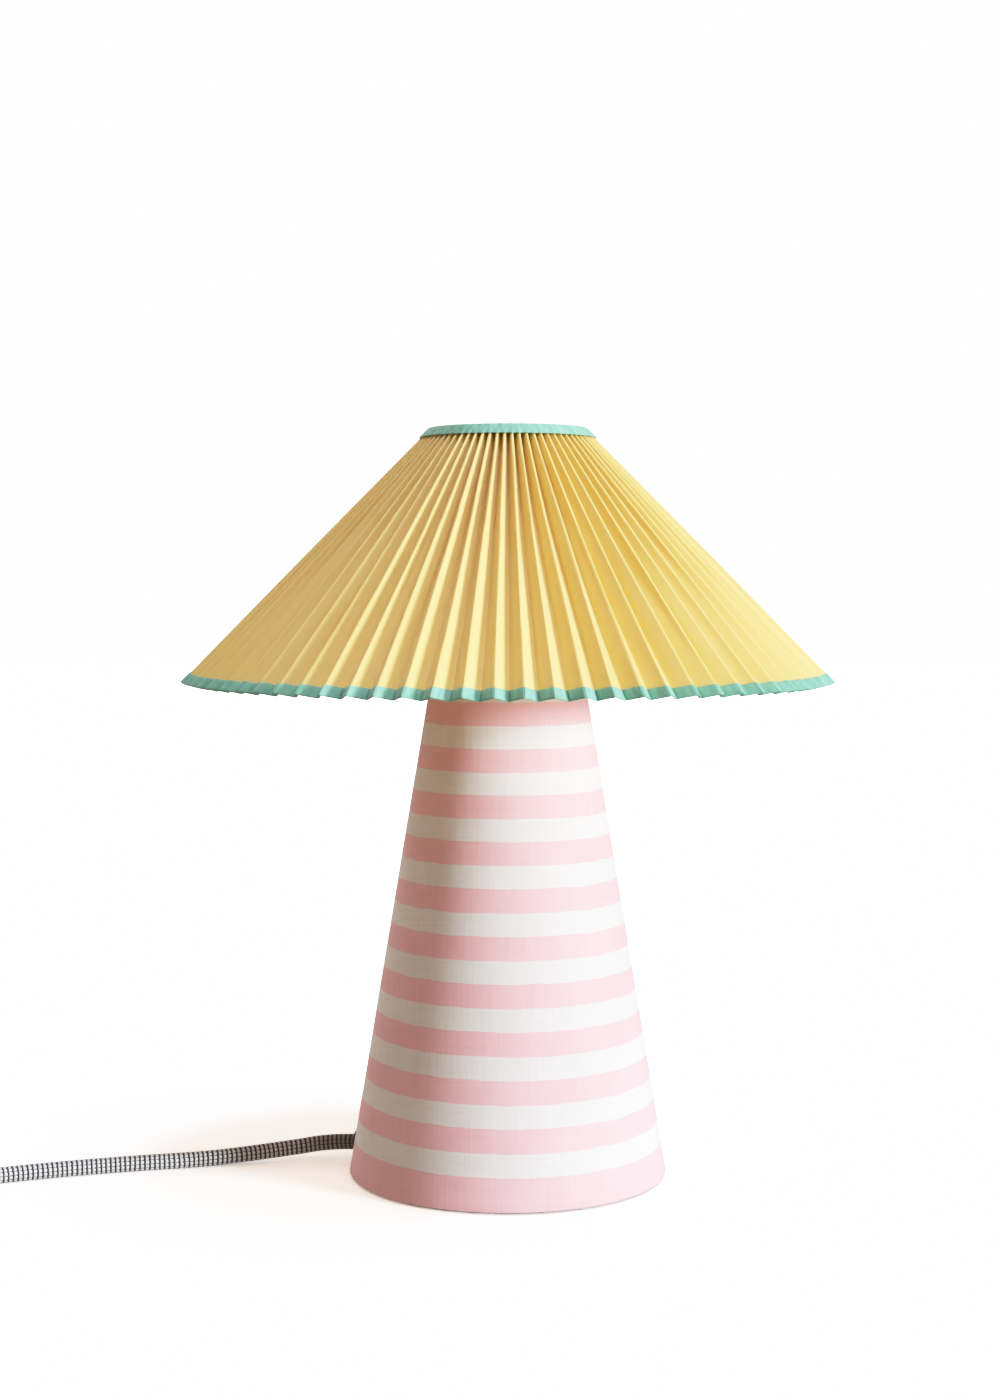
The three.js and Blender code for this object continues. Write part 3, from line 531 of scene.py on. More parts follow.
def smooth_line(points, spacing):
    """Evenly spaced points on a smooth curve through the given ones."""
    p = np.array(points, float)
    ends = np.vstack([2 * p[0] - p[1], p, 2 * p[-1] - p[-2]])
    dense = []
    for i in range(1, len(ends) - 2):
        a, b, c, d = ends[i - 1:i + 3]
        t = np.linspace(0, 1, 24, endpoint=False)[:, None]
        dense.append(0.5 * (2 * b + (c - a) * t + (2 * a - 5 * b + 4 * c - d) * t ** 2
                            + (3 * b - a - 3 * c + d) * t ** 3))
    line = np.vstack([*dense, p[-1]])
    run = np.concatenate([[0], np.cumsum(np.linalg.norm(np.diff(line, axis=0), axis=1))])
    count = max(2, int(round(run[-1] / spacing)) + 1)
    at = np.linspace(0, run[-1], count)
    return np.stack([np.interp(at, run, line[:, k]) for k in range(3)], axis=1)


def line_frames(line, closed=False):
    """Two directions across the line at each point, carried along it without twisting."""
    if closed:
        tangents = np.roll(line, -1, axis=0) - np.roll(line, 1, axis=0)
    else:
        tangents = np.gradient(line, axis=0)
    tangents /= np.linalg.norm(tangents, axis=1)[:, None]
    first = np.array([0.0, 0.0, 1.0])
    if abs(tangents[0][2]) > 0.9:
        first = np.array([1.0, 0.0, 0.0])
    side = np.cross(tangents[0], first)
    sides = []
    for tangent in tangents:
        side = side - tangent * side.dot(tangent)
        side = side / np.linalg.norm(side)
        sides.append(side)
    sides = np.array(sides)
    return sides, np.cross(tangents, sides)


def tube(name, line, radius, slot, body, replaced=(), sides=16, closed=False, relief=None,
         uv_scale=(1.0, 1.0)):
    """A round wire or cord along a line. relief(i, j) adds to the radius."""
    across, up = line_frames(line, closed)
    rows = len(line)
    columns = sides + 1
    turns = np.linspace(0, TAU, columns)
    lift = np.zeros((rows, columns))
    if relief is not None:
        lift = np.fromfunction(np.vectorize(relief), (rows, columns))
        lift[:, -1] = lift[:, 0]
    r = radius + lift
    vertices = (line[:, None, :] + across[:, None, :] * (r * np.cos(turns))[..., None]
                + up[:, None, :] * (r * np.sin(turns))[..., None]).reshape(-1, 3)
    run = np.concatenate([[0], np.cumsum(np.linalg.norm(np.diff(line, axis=0), axis=1))])
    u, v = np.meshgrid(np.linspace(0, 1, columns) * uv_scale[0], run * uv_scale[1])
    uvs = np.stack([u.ravel(), v.ravel()], axis=1)
    faces = grid_faces(rows, columns, close_rows=closed)
    if not closed:
        for row in (0, rows - 1):
            ring = [row * columns + k for k in range(sides)]
            faces.append(tuple(ring[::-1] if row else ring))
    obj = piece(name, vertices, faces, slot, body, (), uvs)
    weld(obj)
    face_out(obj)
    if replaced:
        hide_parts(*replaced)
    return obj


def ring_line(radius, height, count):
    turns = np.linspace(0, TAU, count, endpoint=False)
    return np.stack([radius * np.cos(turns), radius * np.sin(turns),
                     np.full(count, float(height))], axis=1)


# ---------------------------------------------------------------- camera
def make_camera():
    data = bpy.data.cameras.new("camera")
    data.lens = CAMERA_LENS
    data.sensor_width = 36.0
    camera = add_object("camera", data)
    camera.location = (CAMERA_SIDE, -CAMERA_DISTANCE, CAMERA_HEIGHT)
    camera.rotation_euler = (math.pi / 2 - CAMERA_TILT, 0.0, 0.0)
    bpy.context.scene.camera = camera


# ---------------------------------------------------------------- cords
def coil_line():
    """Points on the coil: inwards on the surface, up, and outwards on top of the first layer."""
    start = math.pi
    points = []
    turns = 2 * COIL_TURNS_IN_LAYER + COIL_RISE
    steps = int(turns * 36)
    for i in range(steps + 1):
        done = turns * i / steps
        inward = min(done, COIL_TURNS_IN_LAYER) / COIL_TURNS_IN_LAYER
        risen = min(max(done - COIL_TURNS_IN_LAYER, 0) / COIL_RISE, 1)
        outward = max(done - COIL_TURNS_IN_LAYER - COIL_RISE, 0) / COIL_TURNS_IN_LAYER
        radius = COIL_OUTER + (COIL_INNER - COIL_OUTER) * (inward - outward)
        height = COIL_LOW + (COIL_HIGH - COIL_LOW) * risen * risen * (3 - 2 * risen)
        turn = start + TAU * done
        points.append((COIL_CENTRE[0] + radius * math.cos(turn),
                       COIL_CENTRE[1] + radius * math.sin(turn), height))
    return points


def knit(i, j):
    """The braid's relief: the middle of each cell stands proud of the net between cells."""
    return 0.09 if (i + j) % 2 else -0.05


def braided(name, points, nodes):
    line = smooth_line(points, CELL_LENGTH / 2)
    radius = CORD_DIAMETER / 2 - 0.06
    cord = tube(name, line, radius, "cord_braid", "root", nodes, sides=2 * CELLS_ROUND,
                relief=knit, uv_scale=(CELLS_ROUND, 1 / CELL_LENGTH))


def make_tie():
    """A soft band round the coil's turns, fastened on itself."""
    low, high = 0.35, 16.6
    inner, outer = 29.2, 56.6
    section = filleted([(inner, low), (outer, low), (outer, high), (inner, high)], 2.5, 6)
    turn = math.radians(50)
    radial = np.array([math.cos(turn), math.sin(turn), 0])
    sideways = np.array([-math.sin(turn), math.cos(turn), 0])
    frame_of = (np.array([*COIL_CENTRE, 0]), radial, sideways)
    band = strap("coil_tie_band", section, 8.0, 0.6, "tie_fabric", "root", frame_of,
                 replaced=["coil_tie"])
    lap = smooth_line([(outer + 0.62, 5.0, 0), (outer + 0.62, 9.0, 0), (outer + 0.5, 14.2, 0),
                       (outer - 1.6, high + 0.5, 0), (50, high + 0.62, 0),
                       (40, high + 0.62, 0)], 1.0)[:, :2]
    end = strap("coil_tie_end", lap, 8.0, 0.5, "tie_fabric", "root", frame_of, closed=False)
    return [band, end]


def strap(name, loop, width, thickness, slot, body, frame_of, closed=True, replaced=()):
    """A flat band along a line in one plane. frame_of is (centre, radial, sideways)."""
    centre, radial, sideways = frame_of
    path = np.array(loop)
    count = len(path)
    if closed:
        tangent = np.roll(path, -1, axis=0) - np.roll(path, 1, axis=0)
    else:
        tangent = np.gradient(path, axis=0)
    tangent /= np.linalg.norm(tangent, axis=1)[:, None]
    normal = np.stack([tangent[:, 1], -tangent[:, 0]], axis=1)
    half, deep = width / 2, thickness / 2
    edge = 0.12
    profile = [(-half, 0), (-half + edge, deep), (0, deep), (half - edge, deep), (half, 0),
               (half - edge, -deep), (0, -deep), (-half + edge, -deep)]
    vertices = []
    for (x, z), (nx, nz) in zip(path, normal):
        for side, out in profile:
            place = (centre + radial * (x + nx * out) + sideways * side
                     + np.array([0, 0, z + nz * out]))
            vertices.append(place)
    faces = grid_faces(count, len(profile), close_rows=closed, close_columns=True)
    if not closed:
        last = (count - 1) * len(profile)
        faces.append(tuple(range(len(profile)))[::-1])
        faces.append(tuple(range(last, last + len(profile))))
    obj = piece(name, vertices, faces, slot, body, replaced, sharp=60)
    face_out(obj)
    return obj


def make_cords(switch, plug):
    """Both cords: lamp to switch, and switch through the coil to the plug."""
    braided("cord_to_switch", LAMP_CORD,
            ["cord_lamp_to_switch"])
    tie = make_tie()
    braided("cord_to_plug", COIL_CORD + coil_line() + PLUG_CORD,
            ["cord_switch_to_coil", "cord_coil", "cord_coil_to_plug"])


# ---------------------------------------------------------------- cone
def cone_radius(z):
    return CONE_FOOT_RADIUS - CONE_TAPER * z


def make_cone():
    """The striped cover: down the inside of the foot's edge, up the cone, and in over the top."""
    slope = math.atan(CONE_TAPER)
    turns = 192
    rounds = [TAU * (k / turns - 0.5) for k in range(turns)] + [math.pi - 0.004, math.pi]
    top = CONE_TOP
    outside = [(cone_radius(z), z) for z in np.linspace(CONE_BOTTOM + 0.4, top - 1.0, 60)]
    profile = ([(cone_radius(CONE_BOTTOM) - inset, CONE_BOTTOM) for inset in (0.55, 0.2)]
               + outside
               + [(cone_radius(top) - 0.35, top - 0.3), (cone_radius(top) - 1.2, top), (30.0, top),
                  (24.0, top), (17.1, top - 0.02), (17.0, top - 0.3), (17.1, top - 0.58),
                  (24.0, top - 0.6), (cone_radius(top) - 1.2, top - 0.6),
                  (cone_radius(top) - 0.9, top - 1.2)]
               + [(cone_radius(z) - 0.6, z) for z in np.linspace(top - 2, CONE_BOTTOM + 0.5, 30)])
    rng = random.Random(7)
    phases = [(rng.randint(2, 9), rng.uniform(0, TAU), rng.uniform(0.02, 0.09)) for _ in range(8)]
    vertices, uvs = [], []
    columns = len(rounds)
    for r, z in profile:
        for around in rounds:
            turn = around - math.pi / 2
            wave = sum(a * math.sin(n * around + p + z * 0.013 * n) for n, p, a in phases)
            lap = 0.0
            if r > cone_radius(z) - 0.5 and math.pi - LAP < around < math.pi:
                lap = 0.3 * min(1.0, (around - math.pi + LAP) / (0.4 * LAP))
            rr = r + (wave * 0.35 + lap if r > 20 else 0)
            vertices.append((rr * math.cos(turn), rr * math.sin(turn), z))
            reach = r / math.sin(slope)
            spread = around * math.sin(slope)
            uvs.append((reach * math.sin(spread), reach * math.cos(spread)))
    faces = grid_faces(len(profile), columns, close_rows=True)
    cover = piece("striped_cover", vertices, faces, "pink_cloth", "root", ["cone_cover"], uvs,
                  sharp=180)
    weld(cover)
    face_out(cover)
    cut_out(cover, rod(entry_place(), (0, 0, 57), (0, 0, 87), CORD_BORE_RADIUS), sharp=180)


# ---------------------------------------------------------------- pleated shade
def panel_section(width, depth, round_off):
    """Half a pleat from ridge to valley as (tangential, inward, normal) samples."""
    low, high = 0.0, math.pi / 2 - 1e-4
    for _ in range(60):
        turn = (low + high) / 2
        reach = (width - 2 * round_off * math.sin(turn)) * math.tan(turn)
        if reach + 2 * round_off * (1 - math.cos(turn)) < depth:
            low = turn
        else:
            high = turn
    straight = (width - 2 * round_off * math.sin(turn)) / math.cos(turn)
    samples = []
    for i in range(FOLD_SAMPLES):
        a = turn * i / FOLD_SAMPLES
        samples.append((round_off * math.sin(a), round_off * (1 - math.cos(a)), a, 1.0, 0.0))
    start = (round_off * math.sin(turn), round_off * (1 - math.cos(turn)))
    for i in range(PANEL_SAMPLES + 1):
        f = i / PANEL_SAMPLES
        along = straight * f
        samples.append((start[0] + along * math.cos(turn), start[1] + along * math.sin(turn),
                        turn, 0.0, f))
    for i in range(1, FOLD_SAMPLES):
        a = turn * (1 - i / FOLD_SAMPLES)
        samples.append((width - round_off * math.sin(a), depth - round_off * (1 - math.cos(a)),
                        a, -1.0, 1.0))
    return samples


class Pleats:
    """The folded surface. row(t, down, offset) gives a ring of points round it and the number of
    folds passed at each: t runs from the top to the rim, down is a distance past that along the
    cloth, and offset one out of its middle."""

    def __init__(self, seed):
        rng = random.Random(seed)
        folds = 2 * PLEATS
        self.lean = [(rng.uniform(-1, 1), rng.uniform(-1, 1)) for _ in range(folds)]
        self.bow = [(rng.uniform(-1, 1), rng.uniform(0.4, 1.4)) for _ in range(folds)]
        self.rise = [rng.uniform(-1, 1) for _ in range(folds)]

    def row(self, t, down=0.0, offset=0.0):
        ridge = TOP_RIDGE + (RIM_RIDGE - TOP_RIDGE) * t
        valley = TOP_VALLEY + (RIM_VALLEY - TOP_VALLEY) * t
        across = ridge - valley
        depth = float(np.linalg.norm(across))
        across = across / depth
        along_ridge = (RIM_RIDGE - TOP_RIDGE) / np.linalg.norm(RIM_RIDGE - TOP_RIDGE)
        along_valley = (RIM_VALLEY - TOP_VALLEY) / np.linalg.norm(RIM_VALLEY - TOP_VALLEY)
        middle = (ridge[0] + valley[0]) / 2
        width = middle * math.pi / PLEATS
        round_off = 0.34 + 0.28 * t
        samples = panel_section(width, depth, round_off)
        free = math.sin(math.pi * min(max(t, 0), 1)) ** 0.7
        rim = t ** 3
        points = []
        run = []
        for k in range(2 * PLEATS):
            is_ridge = k % 2 == 1
            order = samples if is_ridge else samples[::-1]
            first = self.shift(k, t, free, rim)
            second = self.shift((k + 1) % (2 * PLEATS), t, free, rim)
            for x, y, turn, bend, f in order:
                s = x / width if is_ridge else 1 - x / width
                side = 1.0 if is_ridge else -1.0
                normal_x, normal_y = math.sin(turn) * side, math.cos(turn)
                reach = offset
                if bend * offset < 0:
                    reach = math.copysign(min(abs(offset), round_off - 0.05), offset)
                bow = self.bow[k][0] * (0.22 + 0.35 * free) * math.sin(math.pi * f)
                bow += 0.10 * math.sin(2 * math.pi * f + 5 * t * self.bow[k][1]) * free
                bow += 0.22 * math.sin(math.pi * f) * math.sin(7 * t * self.bow[k][1] + k)
                bow *= min(1.0, width / 4)
                total = reach + bow
                inward = y - normal_y * total
                sideways = normal_x * total
                angle = (-math.pi / 2 + (k + s) * math.pi / PLEATS + sideways / middle
                         + (first * (1 - s) + second * s) * math.pi / PLEATS)
                share = inward / depth
                base = ridge - across * inward
                along = along_ridge * (1 - share) + along_valley * share
                lift = self.rise[k] * (1 - s) + self.rise[(k + 1) % (2 * PLEATS)] * s
                r = base[0] + along[0] * down + lift * 0.35 * free * across[0]
                z = base[1] + along[1] * down + lift * 0.35 * free * across[1]
                points.append((r * math.cos(angle), r * math.sin(angle), z))
                run.append(k + s)
        return points, run

    def shift(self, k, t, free, rim):
        a, b = self.lean[k]
        return 0.10 * free * a * math.cos(2.2 * t + b) + 0.05 * rim * b


def pleat_grid(name, rings, slot, replaced, uv_down, closed):
    """A surface through rings of the folded section; closed also joins the last to the first."""
    count = len(rings[0][0])
    vertices = []
    uvs = []
    columns = count + 1
    for (points, run), down in zip(rings, uv_down):
        vertices.extend(points)
        vertices.append(points[0])
        uvs.extend((u * RIM_PANEL, down) for u in run)
        uvs.append((2 * PLEATS * RIM_PANEL, down))
    faces = grid_faces(len(rings), columns, close_rows=closed)
    obj = piece(name, vertices, faces, slot, "shade", replaced, uvs, sharp=180)
    weld(obj)
    face_out(obj)
    return obj


def make_shade():
    pleats = Pleats(11)
    length = float(np.linalg.norm(RIM_RIDGE - TOP_RIDGE))
    half = SHEET / 2
    steps = 44
    ts = [i / steps for i in range(steps + 1)]
    outside = [pleats.row(t, -0.9 * t, half) for t in ts]
    inside = [pleats.row(t, -0.9 * t, -half) for t in reversed(ts)]
    downs = [t * length for t in ts]
    cloth = pleat_grid("pleated_cloth", outside + inside, "yellow_cloth", ["pleated_shade"],
                       downs + downs[::-1], True)
    near = half + 0.04
    far = near + TAPE
    width = RIM_TAPE_WIDTH
    u_section = [
        (-width, near), (-width + 0.05, far - 0.12), (-width + 0.3, far), (-width * 0.6, far),
        (-width * 0.3, far), (-0.6, far), (-0.15, far * 0.85), (0.1, far * 0.45), (0.18, 0.0),
        (0.1, -far * 0.45), (-0.15, -far * 0.85), (-0.6, -far), (-width * 0.3, -far),
        (-width * 0.6, -far), (-width + 0.3, -far), (-width + 0.05, -far + 0.12), (-width, -near),
        (-width + 1.2, -near), (-2.0, -near), (-0.55, -near), (-0.5, 0.0), (-0.55, near),
        (-2.0, near), (-width + 1.2, near),
    ]
    rings = [pleats.row(1 + down / length, 0.0, offset) for down, offset in u_section]
    tape_uv = np.cumsum([0.0] + [math.dist(a, b) for a, b in zip(u_section, u_section[1:])])
    tape = pleat_grid("rim_tape", rings, "green_tape", ["rim_binding"], tape_uv, True)
    top = make_top_tape()


def make_top_tape():
    """The band that folds over the top edge; it is gathered, and the pleats press it from below."""
    profile = np.array(filleted([
        (40.85, 340.45), (40.2, 341.2), (38.4, 343.05), (36.75, 344.65), (36.0, 344.95),
        (34.6, 344.75), (29.9, 341.1), (29.7, 338.5), (30.3, 338.4), (30.5, 340.8),
        (34.6, 344.1), (35.9, 344.35), (36.6, 344.1), (38.3, 342.5), (39.9, 340.9), (40.4, 340.2),
    ], 0.5, 3))
    turns = PLEATS * 8
    rng = random.Random(3)
    waves = [(rng.randint(40, 210), rng.uniform(0, TAU)) for _ in range(14)]
    centre = profile.mean(axis=0)
    columns = turns + 1
    run = np.concatenate([[0], np.cumsum(np.linalg.norm(np.diff(profile, axis=0), axis=1))])
    vertices, uvs = [], []
    for (r, z), down in zip(profile, run):
        press = min(max((343.2 - z) / 2.8, 0), 1)
        out = np.array([r, z]) - centre
        out = out / np.linalg.norm(out)
        for k in range(columns):
            turn = -math.pi / 2 + TAU * (k % turns) / turns
            folds = math.cos(PLEATS * (turn + math.pi / 2))
            gather = sum(math.sin(n * turn + p) for n, p in waves) / len(waves)
            rise = -0.42 * press * (0.5 + 0.5 * folds) + 0.22 * gather
            rr, zz = r + out[0] * rise, z + out[1] * rise
            vertices.append((rr * math.cos(turn), rr * math.sin(turn), zz))
            uvs.append((k / turns * 235.0, down))
    faces = grid_faces(len(profile), columns, close_rows=True)
    tape = piece("top_tape", vertices, faces, "green_tape", "shade", ["top_binding"], uvs,
                 sharp=180)
    weld(tape)
    face_out(tape)
    return tape


# ---------------------------------------------------------------- fittings
def node_mm(name):
    low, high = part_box(name)
    return np.array(low) / MM, np.array(high) / MM


def stepped(r, low, high, count):
    """Closely spaced points up a straight wall, for a thread or ribs to be cut in."""
    return [(r, z) for z in np.linspace(low, high, count)]


def helix(z, turn, pitch, start, end, depth):
    """A rounded thread's height at a place on a wall; it fades out at both ends."""
    fade = min(1.0, max(0.0, (z - start) / pitch)) * min(1.0, max(0.0, (end - z) / pitch))
    return depth * fade * math.cos(TAU * (z / pitch - turn / TAU))


def along_z(direction):
    """The turn that brings Z to a direction."""
    return direction.to_track_quat("Z", "Y").to_matrix().to_4x4()


def entry_place():
    """Where the cord enters the cone: Z runs out along the bush, from the lamp's axis."""
    outwards = Vector((math.cos(CORD_TURN), math.sin(CORD_TURN), 0))
    return Matrix.Translation(Vector((0, 0, CORD_HEIGHT))) @ along_z(outwards)


def make_foot():
    turned("felt_disc", [(0, 0), (71, 0), (71, 1.5), (0, 1.5)], "felt", "root", ["felt_pad"],
           segments=128, fillet=0.4, closed=False,
           shape=lambda r, z, turn: r + (0.12 * math.sin(31 * turn) + 0.08 * math.sin(77 * turn)
                                         if r > 60 else 0))
    turned("entry_bush", [(4, 52), (4, 74.7), (5.6, 74.7), (6.1, 74.3), (6.1, 73.7), (4.9, 73.7),
                          (4.9, 52)],
           "black_plastic", "root", ["cord_bush"], segments=64, fillet=0.3, place=entry_place())


def make_holder():
    ribs = 60
    turned("holder_cap", [(5.4, 229.3), (14, 229.3), (18.2, 232.4), (19.5, 236.5), (19.5, 242),
                          (17.9, 242), (17.9, 237), (13.4, 231.3), (5.4, 231.3)],
           "black_plastic", "root", ["lampholder_cap"], segments=ribs * 6, fillet=0.7,
           shape=lambda r, z, turn: r - (0.12 * (1 + math.cos(ribs * turn))
                                         if r > 19.3 and 236.8 < z < 241.6 else 0))
    wall = stepped(19.4, 248.6, 275.3, 86)
    turned("holder_skirt",
           [(16.9, 242.3), (19.4, 242.3), (19.4, 246), (24.3, 246), (24.5, 246.2), (24.5, 247.8),
            (24.3, 248), (19.4, 248), *wall, (18.9, 276), (17.2, 276), (16.9, 275.6)],
           "black_plastic", "root", ["lampholder_skirt"], segments=96, fillet=0,
           shape=lambda r, z, turn: r - 0.32 + helix(z, turn, 2.6, 249.5, 275.0, 0.3)
           if 248.5 < z < 275.4 and r > 19.3 else r)
    shell = stepped(14.4, 247.2, 272.7, 80)
    inner = stepped(13.95, 272.7, 247.2, 80)
    turned("threaded_shell", [*shell, *inner], "brass", "root", ["screw_shell"], segments=72,
           fillet=0, shape=lambda r, z, turn: r + helix(z, turn, 3.6, 249.5, 272.0, 0.18) - 0.05)
    turned("plate_washer", [(5.3, 227.9), (16.4, 227.9), (16.4, 229), (5.3, 229)], "steel",
           "root", ["cover_washer"], fillet=0.3)
    turned("holder_insert", [(0, 238), (16.4, 238), (16.4, 246.6), (0, 246.6)], "ceramic",
           "root", ["lampholder_core"], segments=72, fillet=0.6, closed=False)
    lobes = 24
    turned("grip_ring", [(19.8, 250.2), (25.25, 250.2), *stepped(25.25, 250.9, 256.5, 5),
                         (25.25, 257.2), (19.8, 257.2)],
           "black_plastic", "shade_ring", ["shade_ring"], segments=lobes * 10, fillet=0.6,
           shape=lambda r, z, turn: r + (0.45 * math.cos(lobes * turn) if r > 24 else 0))


def make_bulb():
    wall = stepped(12.95, 256.0, 272.5, 70)
    turned("screw_cap", [(0, 254.8), (11.6, 254.8), (12.3, 255.3), *wall, (13.1, 274.2),
                         (12.9, 275), (0, 275)],
           "steel", "bulb", ["bulb_screw_cap"], segments=96, fillet=0, closed=False,
           shape=lambda r, z, turn: r + helix(z, turn, 3.6, 256.0, 272.5, 0.34))
    fins = 36
    collar = [(0, 275.3), (13.0, 275.3), *zip(np.linspace(13.3, 15.1, 12),
                                              np.linspace(275.9, 283.4, 12)),
              (15.0, 284), (0, 284)]
    turned("bulb_neck", collar, "white_plastic", "bulb", ["bulb_collar"], segments=fins * 8,
           fillet=0, closed=False,
           shape=lambda r, z, turn: r - (0.16 * (1 + math.cos(fins * turn))
                                         if 276.5 < z < 282.8 and r > 13 else 0))

    def candle(z):
        if z < 303:
            return 17.4 * math.cos((303 - z) / 18.7 * 0.62)
        return 17.4 * max(0.0, 1 - ((z - 303) / 43) ** 2) ** 0.625

    rising = [284.3 + 60.5 * (i / 48) for i in range(49)] + [345.2, 345.6, 345.85]
    outside = [(candle(z), z) for z in rising] + [(0, 346)]
    inside = [(0, 344.4)] + [(max(candle(z) - 1, 0.6), z) for z in rising[::-1] if z < 344]
    ordered = inside + outside
    turned("candle_glass", ordered, "opal_glass", "bulb", ["bulb_glass"], segments=72, fillet=0,
           closed=False)
    turned("tip_insulator", [(0, 251.3), (5, 251.3), (11.4, 254.5), (0, 254.5)],
           "black_plastic", "bulb", ["bulb_insulator"], fillet=0.3, closed=False)
    turned("tip_contact", [(0, 249.3), (3.4, 249.3), (4.4, 250.2), (4.4, 251), (0, 251)],
           "steel", "bulb", ["bulb_contact"], fillet=0.3, closed=False)


def make_frame():
    """The shade's wires: two rings, four ribs, a fitter ring and its three arms."""
    wire = 1.5
    rings = {}
    for node, name, count in (("gallery_ring", "upper_wire_ring", 96),
                              ("lower_ring", "lower_wire_ring", 192)):
        low, high = node_mm(node)
        rings[node] = np.array([high[0] - wire, (low[2] + high[2]) / 2])
        tube(name, ring_line(*rings[node], count), wire, "frame_wire", "shade", [node],
             sides=12, closed=True)
    run = rings["lower_ring"] - rings["gallery_ring"]
    run /= np.linalg.norm(run)
    start = rings["gallery_ring"] + run * (wire + 0.2)
    end = rings["lower_ring"] - run * (wire + 0.2)
    for i in range(4):
        turn = math.pi / 4 + i * math.pi / 2
        line = np.array([(r * math.cos(turn), r * math.sin(turn), z)
                         for r, z in np.linspace(start, end, 24)])
        tube(f"wire_rib_{i + 1}", line, 1.25, "frame_wire", "shade", [f"rib_{i + 1}"], sides=12)
    turned("wire_fitter", [(21, 248.3), (26.2, 248.3), (26.2, 249.9), (21, 249.9)],
           "frame_wire", "shade", ["fitter_ring"], fillet=0.5)
    top = rings["gallery_ring"][1] - wire - 0.3
    reach = rings["gallery_ring"][0]
    bend = [(reach, top), (reach, 310), (reach, 285), (reach, 266), (reach - 0.2, 258),
            (reach - 1.1, 252.6), (28.4, 249.45), (26.8, 249.1)]
    for i in range(3):
        turn = math.pi / 2 + i * TAU / 3
        line = smooth_line([(r * math.cos(turn), r * math.sin(turn), z) for r, z in bend], 1.5)
        tube(f"wire_arm_{i + 1}", line, wire, "frame_wire", "shade", [f"spider_arm_{i + 1}"],
             sides=12)


# ---------------------------------------------------------------- switch and plug
def placed(entry, heading):
    return (Matrix.Translation(Vector(entry)) @ Matrix.Rotation(heading, 4, "Z"))


def bar_ring(length, width, corner, inset, z, steps=10):
    """A rounded bar's outline along X, drawn in by an inset, at one height."""
    centres = [(length - corner, width / 2 - corner, 0), (corner, width / 2 - corner, 90),
               (corner, corner - width / 2, 180), (length - corner, corner - width / 2, 270)]
    points = []
    for x, y, begin in centres:
        for i in range(steps + 1):
            turn = math.radians(begin + 90 * i / steps)
            reach = corner - inset
            points.append((x + reach * math.cos(turn), y + reach * math.sin(turn), z))
    return points


def loft(name, rings, place, slot, body, replaced=(), sharp=38.0):
    """A closed skin through rings of equally many points, with flat ends."""
    count = len(rings[0])
    vertices = [tuple(place @ Vector(p)) for ring in rings for p in ring]
    faces = grid_faces(len(rings), count, close_columns=True)
    last = (len(rings) - 1) * count
    faces.append(tuple(range(count))[::-1])
    faces.append(tuple(range(last, last + count)))
    obj = piece(name, vertices, faces, slot, body, replaced, sharp=sharp)
    face_out(obj)
    return obj


def cut_out(obj, *cutters, sharp=38):
    """Takes other closed shapes away from a piece, and removes them."""
    for cutter in cutters:
        modifier = obj.modifiers.new("cut", "BOOLEAN")
        modifier.object = cutter
        modifier.operation = "DIFFERENCE"
        modifier.solver = "EXACT"
        bpy.context.view_layer.update()
        evaluated = obj.evaluated_get(bpy.context.evaluated_depsgraph_get())
        mesh = bpy.data.meshes.new_from_object(evaluated)
        obj.modifiers.clear()
        obj.data = mesh
        bpy.data.objects.remove(cutter)
    obj.data.polygons.foreach_set("use_smooth", [True] * len(obj.data.polygons))
    obj.data.set_sharp_from_angle(angle=math.radians(sharp))


def rod(place, start, end, radius, sides=48):
    """A cutter: a round bar between two points, in a placed frame."""
    a, b = Vector(start), Vector(end)
    local = Matrix.Translation(a) @ along_z(b - a)
    rings = []
    for z in (0.0, (b - a).length):
        rings.append([tuple(local @ Vector((radius * math.cos(TAU * k / sides),
                                            radius * math.sin(TAU * k / sides), z)))
                      for k in range(sides)])
    return loft("cutter", rings, place, "black_plastic", "root")


def fillet_levels(low, high, radius_low, radius_high):
    """(inset, height) down the side of a solid with rounded lower and upper edges."""
    levels = []
    for i in range(7):
        a = math.pi / 2 * i / 6
        levels.append((radius_low * (1 - math.sin(a)), low + radius_low * (1 - math.cos(a))))
    for i in range(9):
        a = math.pi / 2 * i / 8
        levels.append((radius_high * (1 - math.cos(a)), high - radius_high * (1 - math.sin(a))))
    flat = 0.6
    return [(radius_low + flat, low), *levels, (radius_high + flat, high)]


